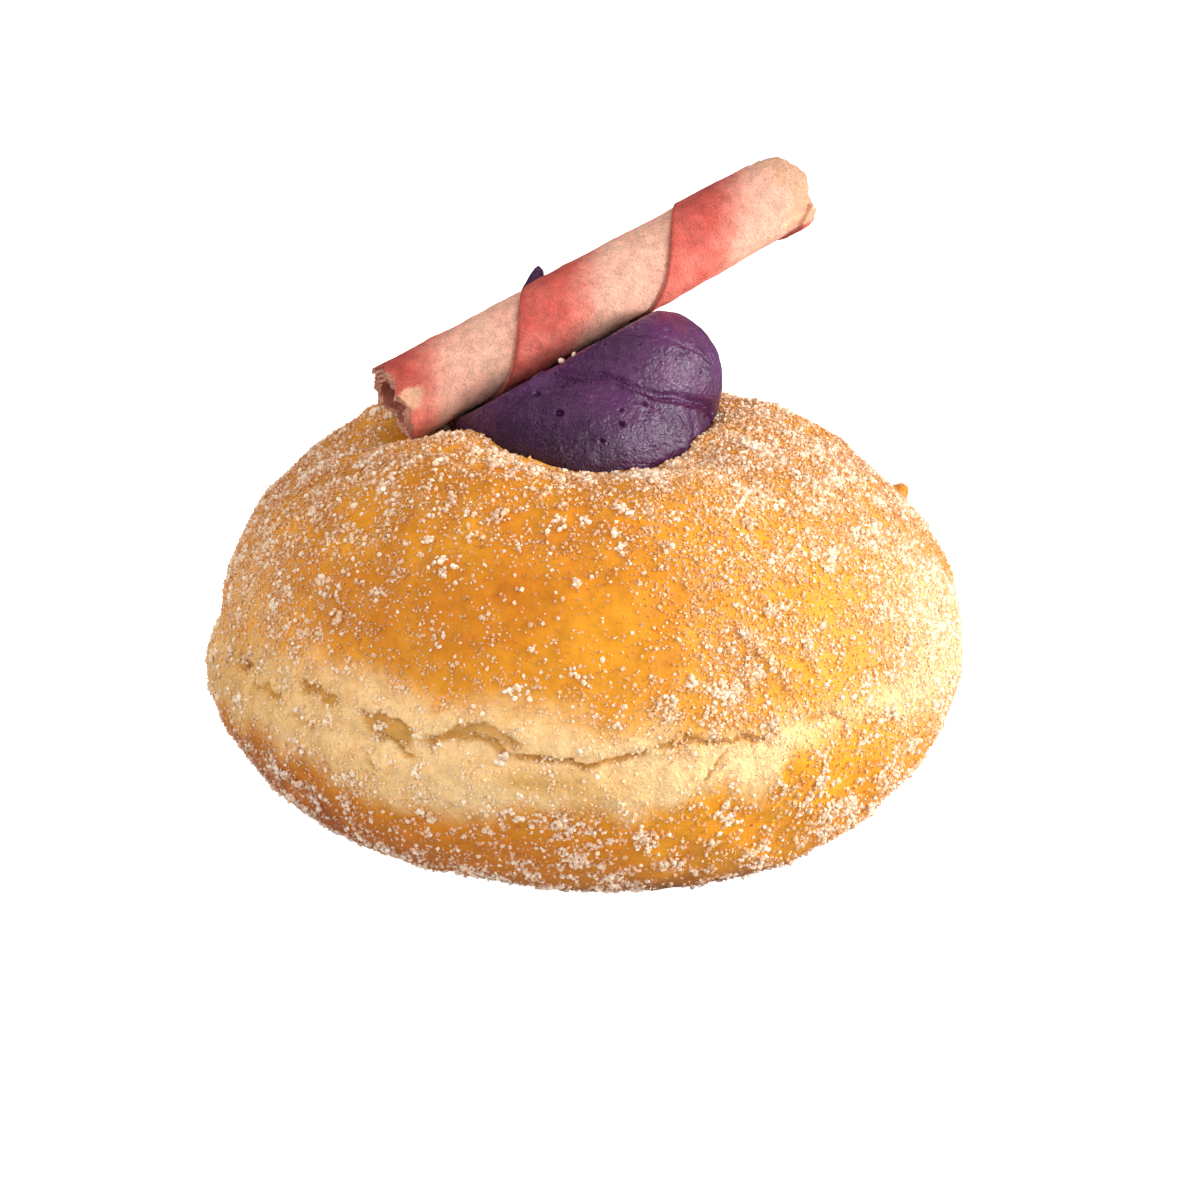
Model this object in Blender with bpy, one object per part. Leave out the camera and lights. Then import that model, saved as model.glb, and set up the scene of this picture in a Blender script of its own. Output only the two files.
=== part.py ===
"""Sugared filled doughnut, in metres, +Z up, standing on its base with its front towards -Y.

Three solids: a puffed bun with a torn pale band round its waist, a puckered crater in its top and
coarse sugar stuck to its crust; a swirl of piped cream that fills the crater; and a rolled wafer,
broken off at its left end, that lies across the cream.
"""

import math

import bmesh
import bpy
import numpy as np

MM = 0.001
GAP = 0.3

# Middle of the outline seen from above, which becomes the origin
CENTRE = (0.0, 0.2)

# Bun, in mm
WAIST_RADIUS = 46.2
WAIST_HEIGHT = 24.6
BUN_HEIGHT = 53.3
BASE_RADIUS = 17.0
BASE_SHIFT = 3.3
CREST_RADIUS = 18.0
UPPER_FULLNESS = 1.88
LOWER_FULLNESS = 1.83
CRATER_DEPTH = 12.0
LEAN = 0.7
TOP_TILT = -0.02
BUN_UNEVENNESS = 0.25
BUN_COLUMNS = 72

# How far the outline stands out from the plain profile: (level, on the right, on the left)
OUTLINE = (
    (1.00, 0.0, 0.0),
    (1.25, 0.0, -0.1),
    (1.50, -0.4, 0.7),
    (1.70, -0.4, 0.9),
    (1.85, -0.1, 0.4),
    (2.00, 0.0, -0.8),
    (2.12, 0.2, -1.8),
    (2.25, 0.3, -1.1),
    (2.40, 0.2, -0.7),
    (2.55, 0.0, -0.5),
    (2.70, 0.1, 0.2),
    (2.85, 0.3, 0.8),
    (3.00, 0.5, 0.6),
    (4.00, 0.0, 0.0),
)

# Tear round the waist: (azimuth in degrees, height above the waist, depth), 0 is +X and -90 the front
TEAR = (
    (-180, 3.6, 0.2),
    (-154, 3.4, 0.4),
    (-137, 2.1, 0.9),
    (-121, -1.1, 1.7),
    (-112, -0.6, 0.8),
    (-105, 0.6, 1.3),
    (-95, -1.2, 0.9),
    (-81, -1.8, 0.8),
    (-69, -0.1, 0.7),
    (-55, 1.2, 0.3),
    (-20, 3.0, 0.1),
    (25, 1.2, 0.5),
    (70, 2.4, 0.9),
    (110, 0.4, 1.2),
    (150, 2.6, 0.5),
)
TEAR_WIDTH_ABOVE = 0.9
TEAR_WIDTH_BELOW = 1.9
LIP_HEIGHT = 0.3

# Dips that run out of the crater: (azimuth and half width in degrees, depth, reach out of the crest)
PLEATS = (
    (-87, 32, 3.1, 8),
    (-46, 8, 1.6, 9),
    (-122, 9, 0.6, 7),
    (-172, 16, 4.2, 12),
    (138, 8, 1.0, 8),
    (92, 10, 1.4, 8),
    (38, 9, 1.2, 10),
)

# Rounded swellings of the dough: (azimuth in degrees, height, radius, rise)
SWELLINGS = (
    (-56, 21.0, 4.5, 1.0),
    (-140, 34.0, 8.0, 0.4),
    (60, 36.0, 10.0, 0.6),
    (150, 33.0, 9.0, 0.6),
)

# Loose flake of crust: (azimuth in degrees, level, half sizes across, along and out)
FLAKE = (15.5, 2.47, (1.3, 0.7, 1.9))

# Coarse sugar
SUGAR_LUMPS = 120
SUGAR_RADIUS = (0.45, 0.95)
SUGAR_SINK = 0.35
SUGAR_LOWEST = 5.0

# Cream: a rope coiled clockwise from the right of the crater up to its tip.
# (turn, distance from the axis, height, rope radius)
COIL = (
    (0.00, 7.8, 51.2, 7.5),
    (0.12, 8.6, 51.8, 7.9),
    (0.25, 8.8, 51.6, 8.1),
    (0.37, 8.7, 52.0, 7.9),
    (0.50, 8.4, 51.4, 7.3),
    (0.75, 8.0, 53.0, 7.4),
    (1.00, 8.2, 57.4, 8.3),
    (1.13, 4.2, 57.8, 7.0),
    (1.25, 1.4, 56.4, 6.2),
    (1.50, 4.0, 55.0, 5.5),
    (1.66, 11.0, 58.8, 5.0),
)
COIL_CENTRE = (0.4, 0.0)
COIL_TIP = ((-6.8, 9.2, 60.4), (-5.2, 11.4, 69.2), 4.4, 0.5)
COIL_STEPS = 90
PLUG_HEIGHT = 47.5
PLUG_RADIUS = 12.5
CREAM_CORE_HEIGHT = 52.0
CREAM_COLUMNS = 48
CREAM_ROWS = 26

# Wafer
WAFER_LEFT_END = (-22.4, -3.0, 55.8)
WAFER_RIGHT_END = (25.9, 18.5, 78.1)
WAFER_RADIUS = 4.65
WAFER_LAP = 0.4
WAFER_PITCH = 22.4
WAFER_FIRST_LAP = 15.0
WAFER_BORE = (2.3, 3.3)
WAFER_CHIP = 0.5
WAFER_COLUMNS = 32
WAFER_ROWS_PER_TURN = 5
WAFER_BORE_ROWS = 8


def plane_waves(points, wavelength, seed, waves=20):
    """Smooth noise, mostly between -1 and 1: plane waves in seeded directions, added up."""
    rng = np.random.default_rng(seed)
    directions = rng.normal(size=(waves, 3))
    directions /= np.linalg.norm(directions, axis=1, keepdims=True)
    numbers = 2 * math.pi / wavelength * rng.uniform(0.7, 1.4, (waves, 1))
    phases = rng.uniform(0, 2 * math.pi, waves)
    return np.cos(points @ (directions * numbers).T + phases).sum(-1) / math.sqrt(waves)


def smooth_along(places, values, wanted):
    """A smooth curve through the values at those places, read at the wanted places."""
    slopes = np.gradient(values, places)
    wanted = np.clip(wanted, places[0], places[-1])
    index = np.clip(np.searchsorted(places, wanted, side="right") - 1, 0, len(places) - 2)
    width = places[index + 1] - places[index]
    t = (wanted - places[index]) / width
    start = (2 * t**3 - 3 * t**2 + 1) * values[index] + (t**3 - 2 * t**2 + t) * width * slopes[index]
    end = (3 * t**2 - 2 * t**3) * values[index + 1] + (t**3 - t**2) * width * slopes[index + 1]
    return start + end


def turned(degrees_from, degrees_to):
    """The signed angle from one azimuth to the other, in degrees."""
    return (degrees_to - degrees_from + 180) % 360 - 180


def round_the_waist(azimuth, column):
    """TEAR's values in that column at these azimuths, eased between its points."""
    table = sorted(TEAR)
    angles = [row[0] for row in table]
    values = [row[column] for row in table]
    angles = [angles[-1] - 360] + angles + [angles[0] + 360]
    values = [values[-1]] + values + [values[0]]
    wrapped = (azimuth + 180) % 360 - 180
    index = np.clip(np.searchsorted(angles, wrapped, side="right") - 1, 0, len(angles) - 2)
    low, high = np.take(angles, index), np.take(angles, index + 1)
    share = (wrapped - low) / (high - low)
    share = share * share * (3 - 2 * share)
    return np.take(values, index) * (1 - share) + np.take(values, index + 1) * share


def bun_profile(level):
    """(distance from the axis, height) of the bun's plain profile. Level runs from 0 at the base's
    middle, 1 at its edge, 2 at the waist and 3 at the crest to 4 at the crater's floor."""
    base, crater = np.clip(level, 0, 1), np.clip(level - 3, 0, 1)
    lower = np.clip(level - 1, 0, 1) * math.pi / 2
    upper = np.clip(level - 2, 0, 1) * math.pi / 2
    bend, top_bend = 2 / LOWER_FULLNESS, 2 / UPPER_FULLNESS
    radius = np.select(
        [level < 1, level < 2, level < 3],
        [
            BASE_RADIUS * base,
            BASE_RADIUS + (WAIST_RADIUS - BASE_RADIUS) * np.sin(lower) ** bend,
            CREST_RADIUS + (WAIST_RADIUS - CREST_RADIUS) * np.abs(np.cos(upper)) ** top_bend,
        ],
        CREST_RADIUS * (1 - crater),
    )
    height = np.select(
        [level < 1, level < 2, level < 3],
        [
            0 * level,
            WAIST_HEIGHT * (1 - np.abs(np.cos(lower)) ** bend),
            WAIST_HEIGHT + (BUN_HEIGHT - WAIST_HEIGHT) * np.sin(upper) ** top_bend,
        ],
        BUN_HEIGHT - CRATER_DEPTH * (1 - np.cos(math.pi * crater)) / 2,
    )
    return radius, height


def bun_smooth(azimuth, level):
    """Points of the bun's plain profile turned round the axis, with its lean."""
    angle = np.radians(azimuth)
    radius, height = bun_profile(level)
    low = np.clip(1 - height / WAIST_HEIGHT, 0, 1)
    x = radius * np.cos(angle) + LEAN * height / BUN_HEIGHT + BASE_SHIFT * low**1.5
    y = radius * np.sin(angle)
    height = height * (1 + TOP_TILT * x / WAIST_RADIUS * height / BUN_HEIGHT)
    return np.stack([x, y, height], -1)


def bun_relief(azimuth, level, tear_level, points):
    """How far the crust stands out from the plain profile, in mm."""
    levels, right, left = np.array(OUTLINE).T
    share = (1 + np.cos(np.radians(azimuth))) / 2
    relief = share * smooth_along(levels, right, level) + (1 - share) * smooth_along(levels, left, level)
    depth = round_the_waist(azimuth, 2)
    from_tear = (level - tear_level) * math.pi / 4 * (WAIST_HEIGHT + WAIST_RADIUS - BASE_RADIUS)
    width = np.where(from_tear > 0, TEAR_WIDTH_ABOVE, TEAR_WIDTH_BELOW)
    relief -= depth * np.exp(-((from_tear / width) ** 2))
    relief += LIP_HEIGHT * depth * np.exp(-(((from_tear - 3.0) / 1.9) ** 2))
    relief += LIP_HEIGHT * depth * np.exp(-(((from_tear + 5.0) / 2.8) ** 2))
    from_crest = np.hypot(points[..., 0] - LEAN, points[..., 1]) - CREST_RADIUS
    for where, half_width, depth, reach in PLEATS:
        across = np.exp(-((turned(where, azimuth) / half_width) ** 2))
        along = np.where(from_crest > 0, from_crest / reach, from_crest / CREST_RADIUS * 2)
        relief -= depth * across * np.exp(-(along**2)) * (level > 2)
    for where, height, spread, rise in SWELLINGS:
        sideways = np.radians(turned(where, azimuth)) * WAIST_RADIUS
        away = np.hypot(sideways, points[..., 2] - height) / spread
        relief += rise * np.exp(-(away**2)) * (level < 3)
    relief += BUN_UNEVENNESS * plane_waves(points, 26, seed=3)
    return relief * np.clip((level - 1) / 0.25, 0, 1) * np.clip((4 - level) / 0.4, 0, 1)


def bun_points(azimuth, level, grown=0.0):
    """Points of the bun's surface, in mm, pushed outwards by `grown`. Level 2 follows the tear."""
    tear_level = 2 + round_the_waist(azimuth, 1) / 40
    from_tear = level - 2
    level = level + (tear_level - 2) * np.exp(-((from_tear / 0.3) ** 2))
    points = bun_smooth(azimuth, level)
    before, after = np.clip(level - 0.01, 0, 4), np.clip(level + 0.01, 0, 4)
    along = bun_smooth(azimuth, after) - bun_smooth(azimuth, before)
    angle = np.radians(azimuth)
    sideways = np.stack([-np.sin(angle), np.cos(angle), 0 * angle], -1)
    normals = np.cross(sideways, along)
    normals /= np.linalg.norm(normals, axis=-1, keepdims=True)
    out = bun_relief(azimuth, level, tear_level, points) + grown
    return points + normals * out[..., None]


def object_of(name, points, faces, colour, roughness):
    """An object of points in mm, with its own material, shaded smooth up to sharp edges."""
    mesh = bpy.data.meshes.new(name)
    placed = (np.asarray(points) - [*CENTRE, 0]) * MM
    mesh.from_pydata(placed.tolist(), [], faces)
    mesh.validate()
    mesh.shade_smooth()
    mesh.set_sharp_from_angle(angle=math.radians(50))
    made = bpy.data.objects.new(name, mesh)
    bpy.context.scene.collection.objects.link(made)
    material = bpy.data.materials.new(name)
    material.use_nodes = True
    shader = material.node_tree.nodes["Principled BSDF"]
    shader.inputs["Base Color"].default_value = (*colour, 1)
    shader.inputs["Roughness"].default_value = roughness
    mesh.materials.append(material)
    return made


def cutter(made):
    """Marks an object as a cutting tool only."""
    made.hide_render = True
    made.display_type = "WIRE"
    return made


def globe_faces(columns, rings):
    """Faces of a closed globe: point 0, then rings of `columns` points, then a last point."""
    faces = [(0, 1 + (i + 1) % columns, 1 + i) for i in range(columns)]
    for ring in range(rings - 1):
        here, there = 1 + ring * columns, 1 + (ring + 1) * columns
        for i in range(columns):
            j = (i + 1) % columns
            faces.append((here + i, here + j, there + j, there + i))
    start, last = 1 + (rings - 1) * columns, 1 + rings * columns
    faces += [(start + i, start + (i + 1) % columns, last) for i in range(columns)]
    return faces


def bun_levels():
    """Levels of the bun's rings, closest together at the tear and the crest."""
    base = [0.55, 1.0]
    lower = 2 - (1 - np.linspace(0, 1, 12, endpoint=False)[1:]) ** 1.5
    upper = 2 + np.linspace(0, 1, 15, endpoint=False) ** 1.35
    crater = 3 + np.linspace(0, 1, 8, endpoint=False)
    return np.concatenate([base, lower, upper, crater])


def bun_solid(name, grown=0.0):
    """The bun without its sugar, or a cutter that is larger all round by `grown`."""
    azimuths = np.linspace(-180, 180, BUN_COLUMNS, endpoint=False)
    levels = bun_levels()
    grid = bun_points(azimuths[None, :], levels[:, None] * np.ones((1, BUN_COLUMNS)), grown)
    bottom, floor = bun_points(np.zeros(2), np.array([0.0, 4.0]), grown)
    points = np.concatenate([[bottom], grid.reshape(-1, 3), [floor]])
    faces = globe_faces(BUN_COLUMNS, len(levels))
    return object_of(name, points, faces, colour=(0.62, 0.30, 0.07), roughness=0.55)


def sugar_lump(collection, place, normal, radius, rng):
    """One low-sided grain of coarse sugar, half sunk in the crust."""
    mesh = bpy.data.meshes.new("sugar_lump")
    shape = bmesh.new()
    bmesh.ops.create_icosphere(shape, subdivisions=1, radius=radius * MM)
    stretch = rng.uniform(0.75, 1.3, 3)
    for vertex in shape.verts:
        vertex.co *= rng.uniform(0.85, 1.15)
        vertex.co.x *= stretch[0]
        vertex.co.y *= stretch[1]
        vertex.co.z *= stretch[2]
    bmesh.ops.recalc_face_normals(shape, faces=shape.faces)
    shape.to_mesh(mesh)
    shape.free()
    lump = bpy.data.objects.new("sugar_lump", mesh)
    lump.location = (place + normal * radius * (1 - 2 * SUGAR_SINK) - [*CENTRE, 0]) * MM
    lump.rotation_euler = rng.uniform(0, 2 * math.pi, 3)
    collection.objects.link(lump)


def near_wafer(place, margin):
    """Whether a point lies within `margin` of the wafer's surface."""
    start, end = np.array(WAFER_LEFT_END), np.array(WAFER_RIGHT_END)
    share = np.clip((place - start) @ (end - start) / ((end - start) @ (end - start)), 0, 1)
    return np.linalg.norm(place - start - share * (end - start)) < WAFER_RADIUS + WAFER_LAP + margin


def place_flake(collection):
    """The flake of crust that stands off the bun's right shoulder."""
    azimuth, level, half_sizes = FLAKE
    place = bun_points(np.array([azimuth]), np.array([level]))[0] - [*CENTRE, 0]
    mesh = bpy.data.meshes.new("flake")
    shape = bmesh.new()
    bmesh.ops.create_icosphere(shape, subdivisions=1, radius=MM)
    shape.to_mesh(mesh)
    shape.free()
    flake = bpy.data.objects.new("flake", mesh)
    flake.location = place * MM
    flake.scale = half_sizes
    flake.rotation_euler = (0, math.radians(40), math.radians(azimuth))
    collection.objects.link(flake)


def scatter_sugar(bun):
    """Joins coarse sugar and the flake to the bun. Sugar lies thickest by the crest and the base."""
    rng = np.random.default_rng(11)
    lumps = bpy.data.collections.new("sugar_lumps")
    bpy.context.scene.collection.children.link(lumps)
    placed = []
    while len(placed) < SUGAR_LUMPS:
        azimuth, level = rng.uniform(-180, 180), rng.uniform(1.25, 2.97)
        radius, height = bun_profile(np.array(level))
        thickness = 0.35 + 0.65 * max(math.exp(-(((level - 2.9) / 0.3) ** 2)), float(level < 1.8))
        if rng.uniform() > float(radius) / WAIST_RADIUS * thickness:
            continue
        place = bun_points(np.array([azimuth]), np.array([level]))[0]
        normal = bun_points(np.array([azimuth]), np.array([level]), 1.0)[0] - place
        size = rng.uniform(*SUGAR_RADIUS)
        if place[2] < SUGAR_LOWEST or near_wafer(place, 2 * size):
            continue
        if any(np.linalg.norm(place - other) < 4.0 for other in placed):
            continue
        placed.append(place)
        sugar_lump(lumps, place, normal, size, rng)
    place_flake(lumps)
    union = bun.modifiers.new("sugar", "BOOLEAN")
    union.operation = "UNION"
    union.operand_type = "COLLECTION"
    union.collection = lumps
    bpy.context.view_layer.objects.active = bun
    bpy.ops.object.modifier_apply(modifier=union.name)
    for lump in list(lumps.objects):
        bpy.data.objects.remove(lump)
    bpy.data.collections.remove(lumps)


def coil_spheres():
    """(centres, radii) of the balls whose envelope is the cream, and of the one that fills the crater."""
    table = np.array(COIL)
    turns = np.linspace(table[0, 0], table[-1, 0], COIL_STEPS)
    away, height, radius = (smooth_along(table[:, 0], table[:, k], turns) for k in (1, 2, 3))
    angle = -2 * math.pi * turns
    x = COIL_CENTRE[0] + away * np.cos(angle)
    y = COIL_CENTRE[1] + away * np.sin(angle)
    centres = np.stack([x, y, height], -1)
    centres = np.concatenate([centres, [[*COIL_CENTRE, PLUG_HEIGHT]]])
    return centres, np.concatenate([radius, [PLUG_RADIUS]])


def cream_points(azimuth, elevation):
    """Points where rays from the cream's core leave the coil's envelope."""
    core = np.array([*COIL_CENTRE, CREAM_CORE_HEIGHT])
    a, e = np.radians(azimuth), np.radians(elevation)
    rays = np.stack([np.cos(a) * np.cos(e), np.sin(a) * np.cos(e), np.sin(e) + 0 * a], -1)
    centres, radii = coil_spheres()
    offset = centres - core
    along = rays @ offset.T
    inside = along**2 - (offset**2).sum(1) + radii**2
    leave = np.where(inside > 0, along + np.sqrt(np.maximum(inside, 0)), 0)
    return core + rays * leave.max(-1)[..., None]


def cream_solid(bun_cutter, wafer_cutter):
    """The swirl, cut back to lie in the crater and under the wafer."""
    azimuths = np.linspace(-180, 180, CREAM_COLUMNS, endpoint=False)
    elevations = np.linspace(-90, 90, CREAM_ROWS + 2)[1:-1]
    grid = cream_points(azimuths[None, :], elevations[:, None])
    bottom, top = cream_points(np.zeros(2), np.array([-90.0, 90.0]))
    points = np.concatenate([[bottom], grid.reshape(-1, 3), [top]])
    faces = globe_faces(CREAM_COLUMNS, CREAM_ROWS)
    cream = object_of("cream", points, faces, colour=(0.06, 0.02, 0.06), roughness=0.4)
    combine(cream, cutter(cream_tip()), "UNION")
    combine(cream, bun_cutter, "DIFFERENCE")
    combine(cream, wafer_cutter, "DIFFERENCE")


def combine(made, tool, operation):
    """Adds or takes away a cutting tool."""
    step = made.modifiers.new(tool.name, "BOOLEAN")
    step.operation = operation
    step.object = tool


def cream_tip():
    """The peak that the nozzle drew up behind the wafer."""
    low, high, wide, thin = COIL_TIP
    low, high = np.array(low), np.array(high)
    along = (high - low) / np.linalg.norm(high - low)
    side = np.cross(along, [0, 1, 0])
    side /= np.linalg.norm(side)
    other = np.cross(along, side)
    angles = np.linspace(0, 2 * math.pi, 14, endpoint=False)[:, None]
    circle = np.cos(angles) * side + np.sin(angles) * other
    shares = np.linspace(0, 1, 6)
    rings = [low + (high - low) * t + circle * (thin + (wide - thin) * (1 - t) ** 1.15) for t in shares]
    points = np.concatenate([[low], *rings, [high + along * thin]])
    return object_of("cream_tip", points, globe_faces(14, 6), colour=(0.06, 0.02, 0.06), roughness=0.4)


def wafer_frame():
    """(left end, unit vectors along the wafer, up from its axis and towards the front, length)."""
    start, end = np.array(WAFER_LEFT_END), np.array(WAFER_RIGHT_END)
    length = np.linalg.norm(end - start)
    along = (end - start) / length
    front = np.cross(along, [0, 0, 1])
    front /= np.linalg.norm(front)
    return start, along, np.cross(front, along), front, length


def wafer_ends(angle, length):
    """Where the wafer ends at each angle round it: broken on the left, uneven on the right."""
    chips = 0.5 * np.sin(2 * angle + 0.6) + 0.6 * np.sin(5 * angle) + 0.4 * np.sin(9 * angle + 2)
    left = WAFER_CHIP * chips
    right = length - 0.6 + 1.2 * np.sin(angle) + 0.25 * np.sin(6 * angle + 1)
    return left, right


def wafer_ring(along_axis, angle, radius):
    """Points at those places along the wafer and angles round it: 0 is its top, 90 degrees its front."""
    start, along, up, front, _ = wafer_frame()
    outwards = np.cos(angle)[..., None] * up + np.sin(angle)[..., None] * front
    return start + along_axis[..., None] * along + radius[..., None] * outwards


def wafer_solid(name, grown=0.0):
    """The rolled wafer: a tube whose outside is a ribbon wound in a helix, each turn lapping the last.
    The roll's inner edge is a step in its bore. Grown, it is a cutter with no bore."""
    length = wafer_frame()[4]
    angles = np.linspace(0, 2 * math.pi, WAFER_COLUMNS + 1)
    left, right = wafer_ends(angles, length)
    turns = np.arange(-2, math.ceil(length / WAFER_PITCH) + 3)
    in_turn = np.linspace(0, 0.985, WAFER_ROWS_PER_TURN)
    phase = (turns[:, None] + in_turn[None, :]).ravel()[:, None]
    helix = WAFER_FIRST_LAP + WAFER_PITCH * (0.25 - angles / (2 * math.pi))
    wound = helix + WAFER_PITCH * phase
    place = np.clip(wound, left - grown, right + grown)
    lap = 1 - np.where(place == wound, phase % 1, (place - helix) / WAFER_PITCH % 1)
    radius = WAFER_RADIUS + grown + WAFER_LAP * lap
    outside = wafer_ring(place, angles + 0 * place, radius)
    if grown:
        tips = np.array([[length + grown], [-grown]]) + 0 * angles
        inside = wafer_ring(tips, angles + 0 * tips, 0 * tips)
    else:
        share = np.linspace(1, 0, WAFER_BORE_ROWS)[:, None]
        step = (angles / (2 * math.pi)) ** 0.8
        bore = WAFER_BORE[0] + (WAFER_BORE[1] - WAFER_BORE[0]) * step + 0 * share
        bore[:, -1] = bore[:, 0]
        inside = wafer_ring(left + share * (right - left), angles[None, :] + 0 * bore, bore)
    rows = np.concatenate([outside, inside])
    return closed_tube(name, rows)


def closed_tube(name, rows):
    """A closed band of rows of points, whose last column and last row meet the first ones.
    Points that coincide are merged, so rows that run past an end close up on its rim."""
    count, columns = rows.shape[:2]
    faces = []
    for row in range(count):
        following = (row + 1) % count
        for i in range(columns - 1):
            here, there = row * columns + i, following * columns + i
            faces.append((here, here + 1, there + 1, there))
    made = object_of(name, rows.reshape(-1, 3), faces, colour=(0.72, 0.36, 0.25), roughness=0.7)
    shape = bmesh.new()
    shape.from_mesh(made.data)
    bmesh.ops.remove_doubles(shape, verts=shape.verts, dist=0.00002)
    bmesh.ops.dissolve_degenerate(shape, edges=shape.edges, dist=0.00001)
    bmesh.ops.recalc_face_normals(shape, faces=shape.faces)
    shape.to_mesh(made.data)
    shape.free()
    return made


def clear_scene():
    for old in list(bpy.data.objects):
        bpy.data.objects.remove(old)


def main():
    clear_scene()
    bun = bun_solid("doughnut")
    scatter_sugar(bun)
    wafer_solid("wafer")
    cream_solid(cutter(bun_solid("bun_cutter", GAP)), cutter(wafer_solid("wafer_cutter", GAP)))


main()
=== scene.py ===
"""Sugared filled doughnut with piped cream and a rolled wafer, dressed over its CAD solids.

Sizes are in mm in the doughnut's own frame: +Z up, the base on the floor, the front towards -Y.
"""

import math

import bmesh
import bpy
import numpy as np
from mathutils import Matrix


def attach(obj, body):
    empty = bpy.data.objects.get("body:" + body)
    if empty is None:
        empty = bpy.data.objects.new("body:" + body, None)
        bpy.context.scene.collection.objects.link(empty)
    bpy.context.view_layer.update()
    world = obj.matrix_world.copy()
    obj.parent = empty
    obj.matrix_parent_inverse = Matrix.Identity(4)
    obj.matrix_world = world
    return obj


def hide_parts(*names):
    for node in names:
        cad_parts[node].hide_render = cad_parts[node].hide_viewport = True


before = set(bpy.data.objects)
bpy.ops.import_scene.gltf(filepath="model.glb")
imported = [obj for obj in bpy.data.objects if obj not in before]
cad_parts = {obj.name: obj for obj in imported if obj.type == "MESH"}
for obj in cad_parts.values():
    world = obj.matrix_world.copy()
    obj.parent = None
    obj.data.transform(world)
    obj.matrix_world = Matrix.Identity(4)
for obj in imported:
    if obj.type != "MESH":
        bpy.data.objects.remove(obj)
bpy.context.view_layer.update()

MM = 0.001
CENTRE = (0.0, 0.2)

# Camera
CAMERA_TARGET = (2.39, -0.2, 30.15)
CAMERA_DISTANCE = 600.0
CAMERA_ELEVATION = 16.0
CAMERA_SENSOR = 36.0
CAMERA_WIDTH_AT_TARGET = 147.6

# Light that comes evenly from below and above the horizon
WORLD_BELOW = 0.66
WORLD_ABOVE = 0.49
WORLD_REFLECTED = 0.35

# Soft boxes that face the doughnut: (name, place and width in metres, power, whether gloss shows it)
LIGHTS = (
    ("key", (0.58, -0.10, 0.22), 0.38, 5.1, True),
    ("top", (-0.05, -0.10, 0.75), 0.6, 1.2, True),
    ("fill", (-0.63, -0.28, 0.20), 0.9, 3.3, False),
    ("front", (0.36, -0.67, 0.16), 0.36, 2.3, True),
)

# Height that the soft boxes face, and the floor's half width, in metres
LIT_HEIGHT = 0.03
FLOOR_HALF_WIDTH = 4.0

# Bun
WAIST_RADIUS = 46.2
WAIST_HEIGHT = 24.6
BUN_HEIGHT = 53.3
BASE_RADIUS = 17.0
BASE_SHIFT = 3.3
CREST_RADIUS = 18.0
UPPER_FULLNESS = 1.88
LOWER_FULLNESS = 1.83
CRATER_DEPTH = 12.0
LEAN = 0.7
TOP_TILT = -0.02

# Along the crust, in mm: one level, one degree round the waist, and one level of the tear's height
LEVEL_SPAN = 42.3
DEGREE_SPAN = 0.8
TEAR_SPAN = 40.0

# The mesh's steps: (where they start, how many up to the next)
BUN_AZIMUTHS = ((-180, 360), (0, 150), (180, 0))
BUN_LEVELS = (
    (0.4, 3),
    (1.0, 34),
    (1.7, 16),
    (1.9, 36),
    (2.15, 28),
    (2.6, 32),
    (3.05, 26),
    (3.6, 6),
    (4, 0),
)

# How far the outline stands out from the plain profile: (level, on the right, on the left)
OUTLINE = (
    (1.00, 0.0, 0.0),
    (1.25, 0.0, -0.1),
    (1.50, -0.4, 0.7),
    (1.70, -0.4, 0.9),
    (1.85, -0.1, 0.4),
    (2.00, 0.0, -0.8),
    (2.12, 0.2, -1.8),
    (2.25, 0.3, -1.1),
    (2.40, 0.2, -0.7),
    (2.55, 0.0, -0.5),
    (2.70, 0.1, 0.2),
    (2.85, 0.3, 0.8),
    (3.00, 0.5, 0.6),
    (4.00, 0.0, 0.0),
)

# Tear round the waist: (azimuth in degrees, height above the waist, depth), 0 is +X and -90 the front
TEAR = (
    (-180, 3.6, 0.2),
    (-154, 3.4, 0.4),
    (-137, 2.1, 0.9),
    (-121, -1.1, 1.7),
    (-112, -0.6, 0.8),
    (-105, 0.6, 1.3),
    (-95, -1.2, 0.9),
    (-81, -1.8, 0.8),
    (-69, -0.1, 0.7),
    (-55, 1.2, 0.3),
    (-20, 3.0, 0.1),
    (25, 1.2, 0.5),
    (70, 2.4, 0.9),
    (110, 0.4, 1.2),
    (150, 2.6, 0.5),
)
TEAR_WIDTH_ABOVE = 1.6
TEAR_WIDTH_BELOW = 2.4
TEAR_SOFTNESS = 0.55
LIP_HEIGHT = 0.3

# Swollen lips beside the tear: (height above it, width)
LIPS = ((3.0, 1.9), (-5.0, 2.8))

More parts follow.
